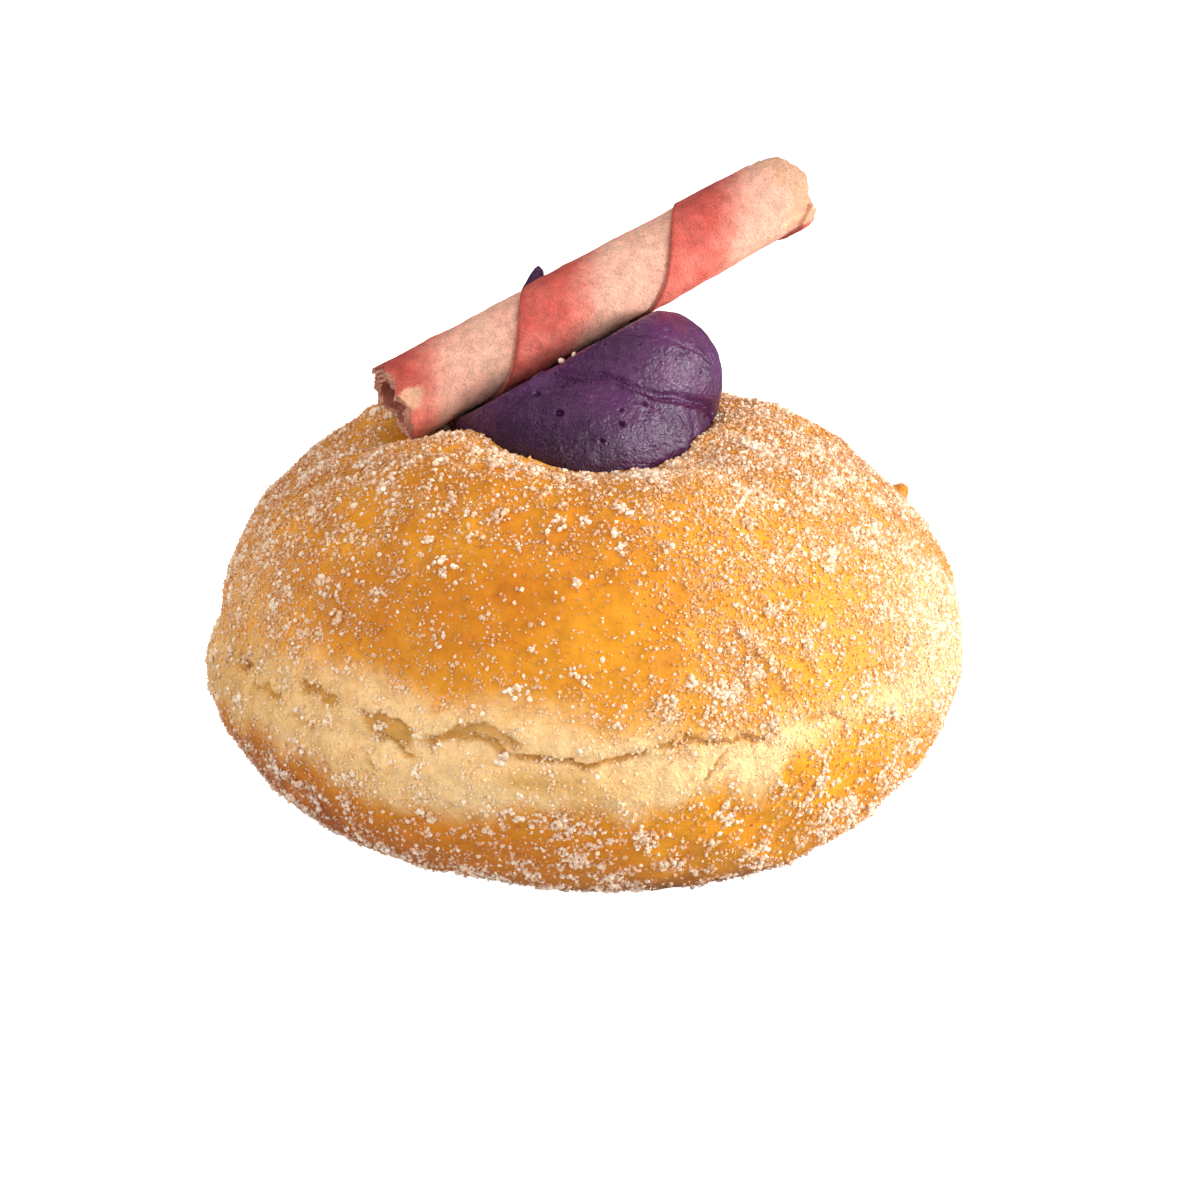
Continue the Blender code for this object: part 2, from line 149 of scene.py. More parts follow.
# Cracks and creases: (depth, width above, width below, (azimuth, level) points along it)
CRACKS = (
    (0.9, 0.35, 0.8, ((-159.5, 2.004), (-155.5, 1.996), (-152.0, 1.988))),
    (0.6, 0.35, 0.8, ((-151.2, 1.96), (-146.0, 1.972), (-141.2, 1.976))),
    (1.0, 0.35, 1.2, ((-138.5, 2.044), (-134.8, 2.06), (-132.0, 2.06), (-129.2, 2.072))),
    (0.4, 0.40, 0.8, ((-140.0, 1.956), (-136.2, 1.944), (-132.5, 1.932))),
    (0.9, 0.30, 0.5, ((-125.2, 2.084), (-122.5, 2.072), (-120.0, 2.03), (-118.0, 1.98), (-115.0, 1.95))),
    (0.5, 0.35, 0.7, ((-124.0, 1.956), (-122.5, 1.932), (-121.0, 1.92))),
    (0.8, 0.35, 1.0, ((-114.0, 2.028), (-110.5, 2.052), (-106.8, 2.04), (-102.5, 2.02), (-100.2, 1.988))),
    (0.85, 0.25, 0.8, ((-100.2, 1.988), (-93.8, 2.02), (-90.2, 2.0), (-84.5, 2.036), (-80.0, 2.068))),
    (0.9, 0.22, 0.55, ((-80.0, 2.068), (-75.2, 2.068), (-69.8, 2.036), (-66.0, 2.03), (-61.8, 2.016))),
    (0.5, 0.30, 0.6, ((-56.8, 2.02), (-48.8, 2.012), (-46.2, 1.968))),
    (0.5, 0.30, 0.5, ((-73.8, 1.884), (-70.8, 1.94), (-67.8, 2.016))),
    (1.0, 0.30, 0.9, ((12.0, 2.01), (24.0, 1.99), (38.0, 2.02), (52.0, 1.98), (63.0, 2.0))),
    (1.2, 0.30, 1.1, ((84.0, 2.03), (96.0, 1.99), (108.0, 1.98), (118.0, 2.02), (131.0, 2.0))),
    (0.8, 0.30, 0.9, ((143.0, 1.98), (152.0, 2.0), (163.0, 1.98), (172.0, 2.01))),
    (0.35, 0.6, 0.9, ((-165.8, 2.588), (-153.2, 2.7), (-136.8, 2.832), (-121.5, 2.9), (-99.8, 2.98))),
)

# Shelves under a torn lip: (depth, azimuth, its lower edge, its upper edge)
SHELVES = (
    (0.9, ((-126.0, 2.07, 2.084), (-121.8, 2.0, 2.092), (-118.0, 1.97, 2.09), (-114.6, 1.95, 2.04))),
    (0.7, ((-114.6, 2.02, 2.03), (-110.5, 2.03, 2.062), (-104.0, 2.02, 2.075), (-97.5, 2.0, 2.04))),
)
RAGGED = 0.32

# Wrinkles in the crust's right front: (rise, (level, azimuth) points from bottom to top)
WRINKLES = (
    (0.40, ((2.096, -55.8), (2.148, -58.2), (2.2, -60.2), (2.252, -62.0), (2.296, -63.8), (2.344, -65.0))),
    (0.35, ((2.136, -64.2), (2.184, -64.5), (2.24, -64.2), (2.288, -63.0))),
    (0.30, ((2.12, -52.2), (2.172, -53.8), (2.228, -55.2))),
)
WRINKLE_WIDTH = 0.55

# Pale band round the waist: (azimuth, its lower edge, its upper edge), in levels
BAND = (
    (-180, 1.79, 2.02),
    (-160, 1.81, 2.04),
    (-146, 1.856, 2.10),
    (-132, 1.824, 2.136),
    (-122, 1.816, 2.178),
    (-112, 1.772, 2.16),
    (-105, 1.776, 2.12),
    (-96, 1.84, 2.135),
    (-86, 1.826, 2.124),
    (-79, 1.844, 2.10),
    (-70, 1.86, 2.05),
    (-62, 1.805, 2.04),
    (-57, 1.96, 2.03),
    (-46, 1.985, 2.03),
    (-30, 1.90, 2.04),
    (-10, 1.88, 2.05),
    (20, 1.90, 2.08),
    (60, 1.84, 2.10),
    (100, 1.80, 2.12),
    (140, 1.84, 2.08),
)

# Dips that run out of the crater: (azimuth and half width in degrees, depth, reach out of the crest)
PLEATS = (
    (-87, 32, 3.1, 8),
    (-60, 9, 1.5, 6),
    (-46, 8, 1.6, 9),
    (-122, 9, 0.6, 7),
    (-172, 16, 4.2, 12),
    (138, 8, 1.0, 8),
    (92, 10, 1.4, 8),
    (38, 9, 1.2, 10),
)

# Rounded swellings of the dough: (azimuth in degrees, height, radius, rise)
SWELLINGS = (
    (-56, 21.0, 4.5, 1.0),
    (-140, 34.0, 8.0, 0.4),
    (60, 36.0, 10.0, 0.6),
    (150, 33.0, 9.0, 0.6),
)

# Colours, as sRGB
GOLD = (214, 135, 22)
AMBER = (198, 115, 8)
HONEY = (240, 165, 34)
PALE = (252, 212, 154)
TOASTED = (230, 178, 104)
TORN_AND_SHADED = (206, 146, 58)
UNDER = (216, 128, 22)
BROWNED = (178, 90, 28)
SCORCHED_AND_SHADED = (128, 66, 28)
SUGAR = (255, 240, 218)
DUST = (252, 206, 150)

# Patches of crust colour: (azimuth, level, spread in degrees, spread in levels, colour, strength)
PATCHES = (
    (-104, 2.42, 22, 0.14, AMBER, 0.75),
    (-82, 2.48, 14, 0.12, AMBER, 0.20),
    (-88, 2.32, 10, 0.12, HONEY, 0.45),
    (-128, 2.32, 18, 0.10, AMBER, 0.45),
    (-88, 2.62, 18, 0.10, AMBER, 0.35),
    (-60, 2.35, 12, 0.12, AMBER, 0.30),
    (-98, 2.84, 16, 0.12, AMBER, 0.35),
    (-52, 2.55, 18, 0.20, HONEY, 0.70),
    (-30, 2.30, 24, 0.22, HONEY, 0.50),
    # Pale patch on the right flank: partly sugar, partly a painted highlight where the key light washes
    # the crust out
    (-22, 2.12, 12, 0.26, PALE, 0.80),
    (-160, 2.20, 16, 0.14, PALE, 0.35),
    (-56, 2.26, 9, 0.10, HONEY, 0.60),
    (40, 2.50, 30, 0.14, AMBER, 0.55),
    (110, 2.40, 34, 0.14, AMBER, 0.60),
    (165, 2.55, 24, 0.14, AMBER, 0.40),
    (-148, 1.58, 28, 0.35, BROWNED, 0.85),
    (-58, 1.60, 26, 0.30, HONEY, 0.60),
    (-15, 1.60, 26, 0.30, HONEY, 0.50),
)

# Parts of the pale band that are more baked, in the same order
BAND_PATCHES = (
    (-160, 1.95, 20, 0.25, TOASTED, 0.90),
    (-93, 1.92, 11, 0.05, TOASTED, 0.95),
    (-128, 1.88, 14, 0.06, TOASTED, 0.45),
    (-134, 2.06, 14, 0.06, TOASTED, 0.40),
)

# Where sugar lies thicker or thinner: (azimuth, level, spread in degrees, spread in levels, factor)
SUGAR_ZONES = (
    (-101, 2.41, 29, 0.23, 0.20),
    (-84, 2.33, 10, 0.14, 0.45),
    (-160, 2.50, 26, 0.32, 1.8),
    (-40, 2.70, 28, 0.26, 2.8),
    (-66, 2.42, 9, 0.12, 1.7),
    (-66, 2.20, 7, 0.14, 2.2),
    (-62, 2.04, 9, 0.03, 2.6),
    (-98, 2.90, 14, 0.12, 0.6),
    # Thick sugar on the right flank; its dust colour also stands in as painted light where the key light
    # washes the crust white
    (-10, 2.20, 26, 0.40, 2.7),
    (-24, 2.10, 12, 0.20, 2.2),
    (-150, 1.60, 30, 0.30, 0.7),
    (-54, 1.80, 18, 0.16, 0.6),
)

# Sizes of sugar: name, shape, how many, (least, most) radius, how coarse, share in clusters, and
# the (least, most) share of the crust's colour that it takes
SUGAR_KINDS = (
    ("sugar_dust", "four", 44000, (0.15, 0.24), 0.0, 0.00, (0.48, 0.95)),
    ("sugar_fine", "eight", 22500, (0.13, 0.23), 0.0, 0.15, (0.36, 0.92)),
    ("sugar_medium", "box", 13500, (0.16, 0.27), 0.5, 0.50, (0.10, 0.85)),
    ("sugar_coarse", "ball", 5600, (0.22, 0.36), 1.0, 0.75, (0.00, 0.60)),
)
CLUSTER_SPREAD = 0.6
CLUSTER_MEMBERS = 8

# Clumps of coarse sugar, and the grains in one
CLUMPS = 120
CLUMP_RADIUS = (0.45, 0.95)
CLUMP_LOWEST = 5.0
CLUMP_SPACING = 4.0
CLUMP_GRAINS = 9
CLUMP_GRAIN_RADIUS = (0.22, 0.42)

# Grains that have fallen on the cream: (azimuth, elevation) from its core, and their radius
CREAM_GRAINS = ((-102.0, 62.0), (-117.5, 59.0))
CREAM_GRAIN_RADIUS = 0.36

# Loose flake of crust: (azimuth in degrees, level, half sizes across, along and out), and its lean
FLAKE = (17.0, 2.39, (1.3, 0.7, 1.9))
FLAKE_TILT = 40

# Cream: a rope coiled clockwise from the right of the crater up to its tip.
# (turn, distance from the axis, height, rope radius)
COIL = (
    (0.00, 7.8, 51.2, 7.5),
    (0.12, 8.6, 51.8, 7.9),
    (0.25, 8.8, 51.6, 8.1),
    (0.37, 8.7, 52.0, 7.9),
    (0.50, 8.4, 51.4, 7.3),
    (0.75, 8.0, 53.0, 7.4),
    (1.00, 8.2, 57.9, 8.4),
    (1.13, 4.2, 57.8, 7.0),
    (1.25, 1.4, 56.4, 6.2),
    (1.50, 4.0, 55.0, 5.5),
    (1.66, 11.0, 58.8, 5.0),
)
COIL_CENTRE = (0.4, 0.0)
COIL_STEPS = 90

# From this turn on, the rope is the upper fold
UPPER_TURN = 0.8

# Peak: (foot, point, radius at the foot, radius at the point)
COIL_TIP = ((-6.8, 9.2, 60.4), (-5.2, 11.4, 69.2), 4.4, 0.5)
TIP_COLUMNS = 48
TIP_RINGS = 40

# Balls that fill the coil's middle and its upper left: (x, y, z, radius)
CREAM_PLUG = (*COIL_CENTRE, 47.5, 12.5)
CREAM_FILL = (-4.5, -2.4, 56.9, 6.0)

# The mesh's steps from the cream's core, as for the bun
CREAM_CORE = (*COIL_CENTRE, 52.0)
CREAM_AZIMUTHS = ((-180, 256), (0, 90), (180, 0))
CREAM_ELEVATIONS = ((-80, 18), (-35, 42), (-5, 84), (40, 38), (88, 0))

# How softly the two folds meet, and where the notch between them is sharper:
# (azimuth, half width in degrees, share)
CREAM_BLEND = 5.0
SHARP_SIDE = (-10.0, 38.0, 0.8)

# Slope in degrees of the cream that the wafer has pressed down, and its distance from the wafer
PRESSED_SLOPE = 12.5
PRESSED_CLEAR = 0.35

# Edge of the lower fold over the upper one, and faint ridges: (azimuth, elevation) from the cream's core
CREAM_FOLD = (
    (-140, 42.0),
    (-123, 43.5),
    (-105, 44.2),
    (-86, 40.2),
    (-73, 36.0),
    (-63, 31.7),
    (-53, 25.3),
    (-42, 21.5),
    (-31, 18.7),
    (-13, 10.2),
    (0, 8.0),
)
CREAM_RIDGES = (
    (0.08, ((-70, 51.7), (-58, 43.5), (-47, 32.7), (-39, 26.2), (-32, 22.0))),
    (0.10, ((-60, 63.0), (-44, 54.0), (-28, 42.0), (-16, 32.0), (-8, 24.0))),
    (0.10, ((-150, 27.0), (-139, 26.2), (-123, 24.5), (-110, 27.0), (-97, 29.2))),
)

# Creases down the right of the lower fold: (depth, elevation, azimuth) from top to bottom
CREAM_CREASES = (
    (0.16, ((-6, -43.0), (1, -45.7), (7.5, -47.0), (14, -49.2), (20, -53.7), (26, -60.0))),
    (0.14, ((-4, -37.0), (3.7, -35.5), (9.2, -32.7), (14.5, -32.0), (19, -30.0))),
)

# Burst bubbles: (azimuth, elevation, radius, depth)
CREAM_PITS = (
    (-101.2, 20.0, 0.42, 0.75),
    (-72.8, 14.8, 0.34, 0.60),
    (-58.8, 22.8, 0.32, 0.55),
    (-71.8, 21.0, 0.26, 0.40),
    (-116.5, 28.8, 0.36, 0.35),
    (-82.2, 8.2, 0.30, 0.40),
    (3.8, 44.5, 0.30, 0.50),
    (-22.8, 49.8, 0.32, 0.45),
    (-20.8, 29.0, 0.28, 0.40),
    (-23.8, 38.2, 0.24, 0.35),
    (-37.2, 60.0, 0.22, 0.35),
    (-129.8, 12.2, 0.25, 0.35),
    (-59.2, 4.0, 0.20, 0.25),
)

# Wafer: its axis, its least radius, and how much further out it is at a lap's edge
WAFER_LEFT_END = (-22.4, -3.0, 55.5)
WAFER_RIGHT_END = (25.9, 18.5, 77.9)
WAFER_RADIUS = 4.8
WAFER_LAP = 0.4

# Distance between laps, and of the first one from the left end
WAFER_PITCH = 22.0
WAFER_FIRST_LAP = 14.85

# Radius of the bore from the inner layer's start round to its end, and the layers' thickness
WAFER_BORE = (2.3, 3.3)
WAFER_LAYER = 0.62

# Depth of the chips at the ends, of the grooves between the layers and of what has flaked off
WAFER_CHIP = 0.5
WAFER_GROOVE = 0.55
WAFER_FLAKED = 0.28

# Room for the wafer in the cream, and how far it runs past the wafer's ends
WAFER_ROOM = 0.15
WAFER_ROOM_PAST = 2.0

WAFER_COLUMNS = 120
WAFER_ROWS_PER_TURN = 46
WAFER_RIM_ROWS = 18
WAFER_BORE_ROWS = 40
SHARP_ANGLE = 50
WAFER_RED = (206, 84, 70)
WAFER_DARK_RED = (150, 50, 44)
WAFER_CREAM = (234, 182, 156)
WAFER_PINK = (232, 124, 108)
WAFER_BARE = (230, 174, 140)
WAFER_INNER = (206, 130, 112)


def plane_waves(points, wavelength, seed, waves=20):
    """Smooth noise, mostly between -1 and 1: plane waves in seeded directions, added up."""
    rng = np.random.default_rng(seed)
    directions = rng.normal(size=(waves, 3))
    directions /= np.linalg.norm(directions, axis=1, keepdims=True)
    numbers = 2 * math.pi / wavelength * rng.uniform(0.7, 1.4, (waves, 1))
    phases = rng.uniform(0, 2 * math.pi, waves)
    return np.cos(points @ (directions * numbers).T + phases).sum(-1) / math.sqrt(waves)


def smooth_along(places, values, wanted):
    """A smooth curve through the values at those places, read at the wanted places."""
    slopes = np.gradient(values, places)
    wanted = np.clip(wanted, places[0], places[-1])
    index = np.clip(np.searchsorted(places, wanted, side="right") - 1, 0, len(places) - 2)
    width = places[index + 1] - places[index]
    t = (wanted - places[index]) / width
    start = (2 * t**3 - 3 * t**2 + 1) * values[index] + (t**3 - 2 * t**2 + t) * width * slopes[index]
    end = (3 * t**2 - 2 * t**3) * values[index + 1] + (t**3 - t**2) * width * slopes[index + 1]
    return start + end


def ease(value, low, high):
    """0 below low and 1 above high, eased between."""
    t = np.clip((value - low) / (high - low), 0, 1)
    return t * t * (3 - 2 * t)


def turned(degrees_from, degrees_to):
    """The signed angle from one azimuth to the other, in degrees."""
    return (degrees_to - degrees_from + 180) % 360 - 180


def along_line(line, place):
    """(values of a line of points, eased at these places along it, how far inside its ends they are)."""
    places, *columns = np.array(line).T
    inside = np.minimum(place - places[0], places[-1] - place)
    return [smooth_along(places, column, place) for column in columns], inside


def patch(azimuth, level, middle, height, wide, high):
    """1 in the middle of a soft patch on the bun and 0 away from it."""
    return np.exp(-((turned(middle, azimuth) / wide) ** 2 + ((level - height) / high) ** 2))


def ridge(away, width):
    """1 on a line and 0 away from it."""
    return np.exp(-((away / width) ** 2))


def round_table(table, azimuth, column):
    """A table's values in that column at these azimuths, eased between its points."""
    table = sorted(table)
    angles = [row[0] for row in table]
    values = [row[column] for row in table]
    angles = [angles[-1] - 360, *angles, angles[0] + 360]
    values = [values[-1], *values, values[0]]
    wrapped = turned(0, azimuth)
    index = np.clip(np.searchsorted(angles, wrapped, side="right") - 1, 0, len(angles) - 2)
    low, high = np.take(angles, index), np.take(angles, index + 1)
    share = (wrapped - low) / (high - low)
    share = share * share * (3 - 2 * share)
    return np.take(values, index) * (1 - share) + np.take(values, index + 1) * share


def linear(colour):
    """An sRGB colour of 0 to 255 as linear light."""
    value = np.asarray(colour) / 255
    return np.where(value <= 0.04045, value / 12.92, ((value + 0.055) / 1.055) ** 2.4)


def plain(colour, points):
    """One sRGB colour for every point, in linear light."""
    return linear(colour) + 0 * points


def mixed(colours, other, share):
    """Colours moved towards another one by a share for each point."""
    return colours + (linear(other) - colours) * np.clip(share, 0, 1)[..., None]


def patched(colours, table, azimuth, level, mottled):
    """Colours with a table's patches laid on them."""
    for *place, colour, strength in table:
        share = strength * patch(azimuth, level, *place) * (1 + 0.3 * mottled)
        colours = mixed(colours, colour, share)
    return colours


def bun_profile(level):
    """(distance from the axis, height) of the bun's plain profile. Level runs from 0 at the base's
    middle, 1 at its edge, 2 at the waist and 3 at the crest to 4 at the crater's floor."""
    base, crater = np.clip(level, 0, 1), np.clip(level - 3, 0, 1)
    lower = np.clip(level - 1, 0, 1) * math.pi / 2
    upper = np.clip(level - 2, 0, 1) * math.pi / 2
    bend, top_bend = 2 / LOWER_FULLNESS, 2 / UPPER_FULLNESS
    radius = np.select(
        [level < 1, level < 2, level < 3],
        [
            BASE_RADIUS * base,
            BASE_RADIUS + (WAIST_RADIUS - BASE_RADIUS) * np.sin(lower) ** bend,
            CREST_RADIUS + (WAIST_RADIUS - CREST_RADIUS) * np.abs(np.cos(upper)) ** top_bend,
        ],
        CREST_RADIUS * (1 - crater),
    )
    height = np.select(
        [level < 1, level < 2, level < 3],
        [
            0 * level,
            WAIST_HEIGHT * (1 - np.abs(np.cos(lower)) ** bend),
            WAIST_HEIGHT + (BUN_HEIGHT - WAIST_HEIGHT) * np.sin(upper) ** top_bend,
        ],
        BUN_HEIGHT - CRATER_DEPTH * (1 - np.cos(math.pi * crater)) / 2,
    )
    return radius, height


def bun_smooth(azimuth, level):
    """Points of the bun's plain profile turned round the axis, with its lean."""
    angle = np.radians(azimuth)
    radius, height = bun_profile(level)
    low = np.clip(1 - height / WAIST_HEIGHT, 0, 1)
    x = radius * np.cos(angle) + LEAN * height / BUN_HEIGHT + BASE_SHIFT * low**1.5
    y = radius * np.sin(angle)
    height = height * (1 + TOP_TILT * x / WAIST_RADIUS * height / BUN_HEIGHT)
    return np.stack([x, y, height], -1)


def bun_relief(azimuth, level, tear_level, points):
    """How far the crust's main forms stand out from the plain profile."""
    levels, right, left = np.array(OUTLINE).T
    share = (1 + np.cos(np.radians(azimuth))) / 2
    relief = share * smooth_along(levels, right, level) + (1 - share) * smooth_along(levels, left, level)
    depth = round_table(TEAR, azimuth, 2) * TEAR_SOFTNESS
    from_tear = (level - tear_level) * LEVEL_SPAN
    width = np.where(from_tear > 0, TEAR_WIDTH_ABOVE, TEAR_WIDTH_BELOW)
    relief -= depth * ridge(from_tear, width)
    for above, wide in LIPS:
        relief += LIP_HEIGHT * depth * ridge(from_tear - above, wide)
    from_crest = np.hypot(points[..., 0] - LEAN, points[..., 1]) - CREST_RADIUS
    for where, half_width, depth, reach in PLEATS:
        across = ridge(turned(where, azimuth), half_width)
        along = np.where(from_crest > 0, from_crest / reach, from_crest / CREST_RADIUS * 2)
        relief -= depth * across * ridge(along, 1) * (level > 2)
    for where, height, spread, rise in SWELLINGS:
        sideways = np.radians(turned(where, azimuth)) * WAIST_RADIUS
        relief += rise * ridge(np.hypot(sideways, points[..., 2] - height), spread) * (level < 3)
    relief += 0.25 * plane_waves(points, 26, seed=3)
    return relief * np.clip((level - 1) / 0.25, 0, 1) * np.clip((4 - level) / 0.4, 0, 1)


def bun_tears(azimuth, level, points):
    """Depth of the cracks and of the torn shelves below the crust, in mm."""
    ragged = RAGGED * plane_waves(points, 2.6, seed=21) + 0.5 * RAGGED * plane_waves(points, 1.1, seed=22)
    height = level * LEVEL_SPAN + ragged
    depth = 0 * level
    for deep, above, below, line in CRACKS:
        (middle,), inside = along_line(line, azimuth)
        away = height - middle * LEVEL_SPAN
        crack = deep * ridge(away, np.where(away > 0, above, below))
        depth = np.maximum(depth, crack * ease(inside * DEGREE_SPAN, -0.6, 1.6))
    for deep, line in SHELVES:
        (low, high), inside = along_line(line, azimuth)
        floor, lip = low * LEVEL_SPAN, high * LEVEL_SPAN
        share = np.clip((height - floor) / np.maximum(lip - floor, 0.3), 0, 1)
        edge = ease(lip - height, -0.15, 0.35)
        depth = np.maximum(depth, deep * ease(inside * DEGREE_SPAN, 0.0, 2.2) * share**0.7 * edge)
    return depth


def bun_detail(azimuth, level, points):
    """(how far the crust's small forms stand out, depth of its tears)."""
    tears = bun_tears(azimuth, level, points)
    pale = band_share(azimuth, level, points)
    small = 0.16 * plane_waves(points, 9, seed=31) + 0.07 * plane_waves(points, 4, seed=32)
    small += 0.035 * plane_waves(points, 1.7, seed=33) * (1 - pale)
    small += pale * (0.10 * plane_waves(points, 3.0, seed=34) + 0.05 * plane_waves(points, 1.3, seed=35))
    small += bun_wrinkles(azimuth, level)
    return (small - tears) * np.clip((level - 1) / 0.1, 0, 1), tears


def bun_wrinkles(azimuth, level):
    """How far the wrinkles stand out of the crust, in mm."""
    raised = 0 * level
    for rise, line in WRINKLES:
        (side,), inside = along_line(line, level)
        wrinkle = rise * ridge((azimuth - side) * DEGREE_SPAN, WRINKLE_WIDTH)
        raised = np.maximum(raised, wrinkle * ease(inside * LEVEL_SPAN, -0.3, 1.5))
    return raised


def band_share(azimuth, level, points):
    """1 inside the pale band round the waist and 0 outside it, with uneven soft edges."""
    uneven = 0.020 * plane_waves(points, 9, seed=41) + 0.010 * plane_waves(points, 3.5, seed=42)
    low, high = round_table(BAND, azimuth, 1), round_table(BAND, azimuth, 2)
    return ease(level + uneven, low - 0.06, low + 0.05) * ease(high - level - uneven, -0.07, 0.07)


def bun_points(azimuth, level, grown=0.0, detail=False):
    """Points of the bun's surface pushed outwards by `grown`, and the depth of its tears."""
    tear_level = 2 + round_table(TEAR, azimuth, 1) / TEAR_SPAN
    warped = level + (tear_level - 2) * ridge(level - 2, 0.3)
    points = bun_smooth(azimuth, warped)
    before, after = np.clip(warped - 0.01, 0, 4), np.clip(warped + 0.01, 0, 4)
    along = bun_smooth(azimuth, after) - bun_smooth(azimuth, before)
    angle = np.radians(azimuth)
    sideways = np.stack([-np.sin(angle), np.cos(angle), 0 * angle], -1)
    normals = np.cross(sideways, along)
    normals /= np.linalg.norm(normals, axis=-1, keepdims=True)
    out = bun_relief(azimuth, warped, tear_level, points) + grown
    tears = 0 * level
    if detail:
        small, tears = bun_detail(azimuth, level, points)
        out = out + small
    return points + normals * out[..., None], tears


def crust_colours(azimuth, level, points, tears):
    """Colour of the crust before its sugar, in linear light, with the fried dough's uneven browning, and
    painted shade at the base and in the tears.
    """
    uneven = plane_waves(points, 16, seed=51)
    mottled = plane_waves(points, 6, seed=52)
    streaked = plane_waves(points * [1, 1, 0.45], 6.5, seed=53)
    colours = plain(GOLD, points)
    for colour, share in (
        (HONEY, 0.22 + 0.20 * uneven + 0.16 * streaked),
        (AMBER, 0.18 + 0.20 * mottled),
        (HONEY, 0.5 * ease(level, 2.30, 2.12)),
        (UNDER, ease(level + 0.03 * mottled, 1.86, 1.62)),
    ):
        colours = mixed(colours, colour, share)
    colours = patched(colours, PATCHES, azimuth, level, mottled)
    # Darker brown towards the base: partly the fried underside's own colour, partly painted shade where it
    # faces the floor
    colours = mixed(colours, SCORCHED_AND_SHADED, 0.80 * ease(level + 0.03 * mottled, 1.50, 1.20))
    baked = patched(plain(PALE, points), BAND_PATCHES, azimuth, level, mottled)
    share = (band_share(azimuth, level, points) * (0.93 + 0.07 * mottled))[..., None]
    colours = colours * (1 - share) + baked * share
    # Tears: the torn dough's ochre, darkened with their depth as painted shade
    return mixed(colours, TORN_AND_SHADED, ease(tears, 0.05, 0.55) * 0.85)


def sugar_share(azimuth, level, points, tears, coarse):
    """How thickly sugar lies on the crust. Coarse sugar lies in patches, and most of it low down."""
    pale = band_share(azimuth, level, points)
    low, high = ease(level, 1.86, 1.70), ease(level, 2.72, 2.95)
    share = 0.75 + (1.14 * coarse - 0.42) * low + (0.85 - 0.05 * coarse) * high
    for *place, factor in SUGAR_ZONES:
        share = share * (1 + (factor - 1) * patch(azimuth, level, *place))
    share = share * (1 - (0.45 + 0.20 * coarse) * pale) * (1 + 8 * bun_wrinkles(azimuth, level))
    share = share * (1 - 0.8 * ease(tears, 0.3, 0.8))
    patchy = 0.8 * plane_waves(points, 7, seed=61) + 0.8 * plane_waves(points, 2.8, seed=62)
    share = share * np.exp(np.clip(patchy, -2.0, 1.6) * (0.5 + 0.6 * coarse) * (1 + 0.4 * low))
    return share * ease(level, 1.12, 1.55) * (level < 3.3)


def placed(points):
    """Points in mm as metres in the part's frame."""
    return (np.asarray(points) - [*CENTRE, 0]) * MM


def object_of(name, points, faces, slot, replaced=None):
    """A piece of points in mm, shaded smooth, that rides on the part."""
    mesh = bpy.data.meshes.new(name)
    mesh.from_pydata(placed(points).tolist(), [], faces)
    mesh.validate()
    mesh.shade_smooth()
    made = bpy.data.objects.new(name, mesh)
    bpy.context.scene.collection.objects.link(made)
    if slot:
        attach(made, "root")
    if replaced:
        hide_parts(replaced)
    return made


def store(mesh, name, values):
    """Stores a number or a colour for each point of a mesh."""
    if values.ndim == 1:
        layer = mesh.attributes.new(name, "FLOAT", "POINT")
        layer.data.foreach_set("value", values.astype(np.float32))
        return
    layer = mesh.attributes.new(name, "FLOAT_COLOR", "POINT")
    rgba = np.concatenate([np.clip(values, 0, 1), np.ones((len(values), 1))], 1)
    layer.data.foreach_set("color", rgba.astype(np.float32).ravel())


def globe(name, grid, ends, slot, replaced=None):
    """A closed piece of rings of points, each ring a row of the grid, between two end points."""
    rings, columns = grid.shape[:2]
    faces = [(0, 1 + (i + 1) % columns, 1 + i) for i in range(columns)]
    for ring in range(rings - 1):
        here, there = 1 + ring * columns, 1 + (ring + 1) * columns
        for i in range(columns):
            j = (i + 1) % columns
            faces.append((here + i, here + j, there + j, there + i))
    start, last = 1 + (rings - 1) * columns, 1 + rings * columns
    faces += [(start + i, start + (i + 1) % columns, last) for i in range(columns)]
    points = np.concatenate([ends[:1], grid.reshape(-1, 3), ends[1:]])
    return object_of(name, points, faces, slot, replaced)


def with_ends(values):
    """A grid's values as a list, with those of a globe's two end points."""
    flat = values.reshape(-1, *values.shape[2:])
    return np.concatenate([flat[:1], flat, flat[-1:]])


def spread(*stops):
    """Numbers from stop to stop: each stop is (start, how many up to the next), the last one an end."""
    parts = [np.linspace(a, b, n, endpoint=False) for (a, n), (b, _) in zip(stops, stops[1:])]
    return np.concatenate(parts)


def output_of(tree, kind, output, values=None, **settings):
    """An output of a new node with these settings; values are its sockets' links or constants."""
    made = tree.nodes.new(kind)
    for key, value in settings.items():
        setattr(made, key, value)
    for key, value in (values or {}).items():
        if isinstance(value, bpy.types.NodeSocket):
            tree.links.new(value, made.inputs[key])
        else:
            made.inputs[key].default_value = value
    return made.outputs[output]


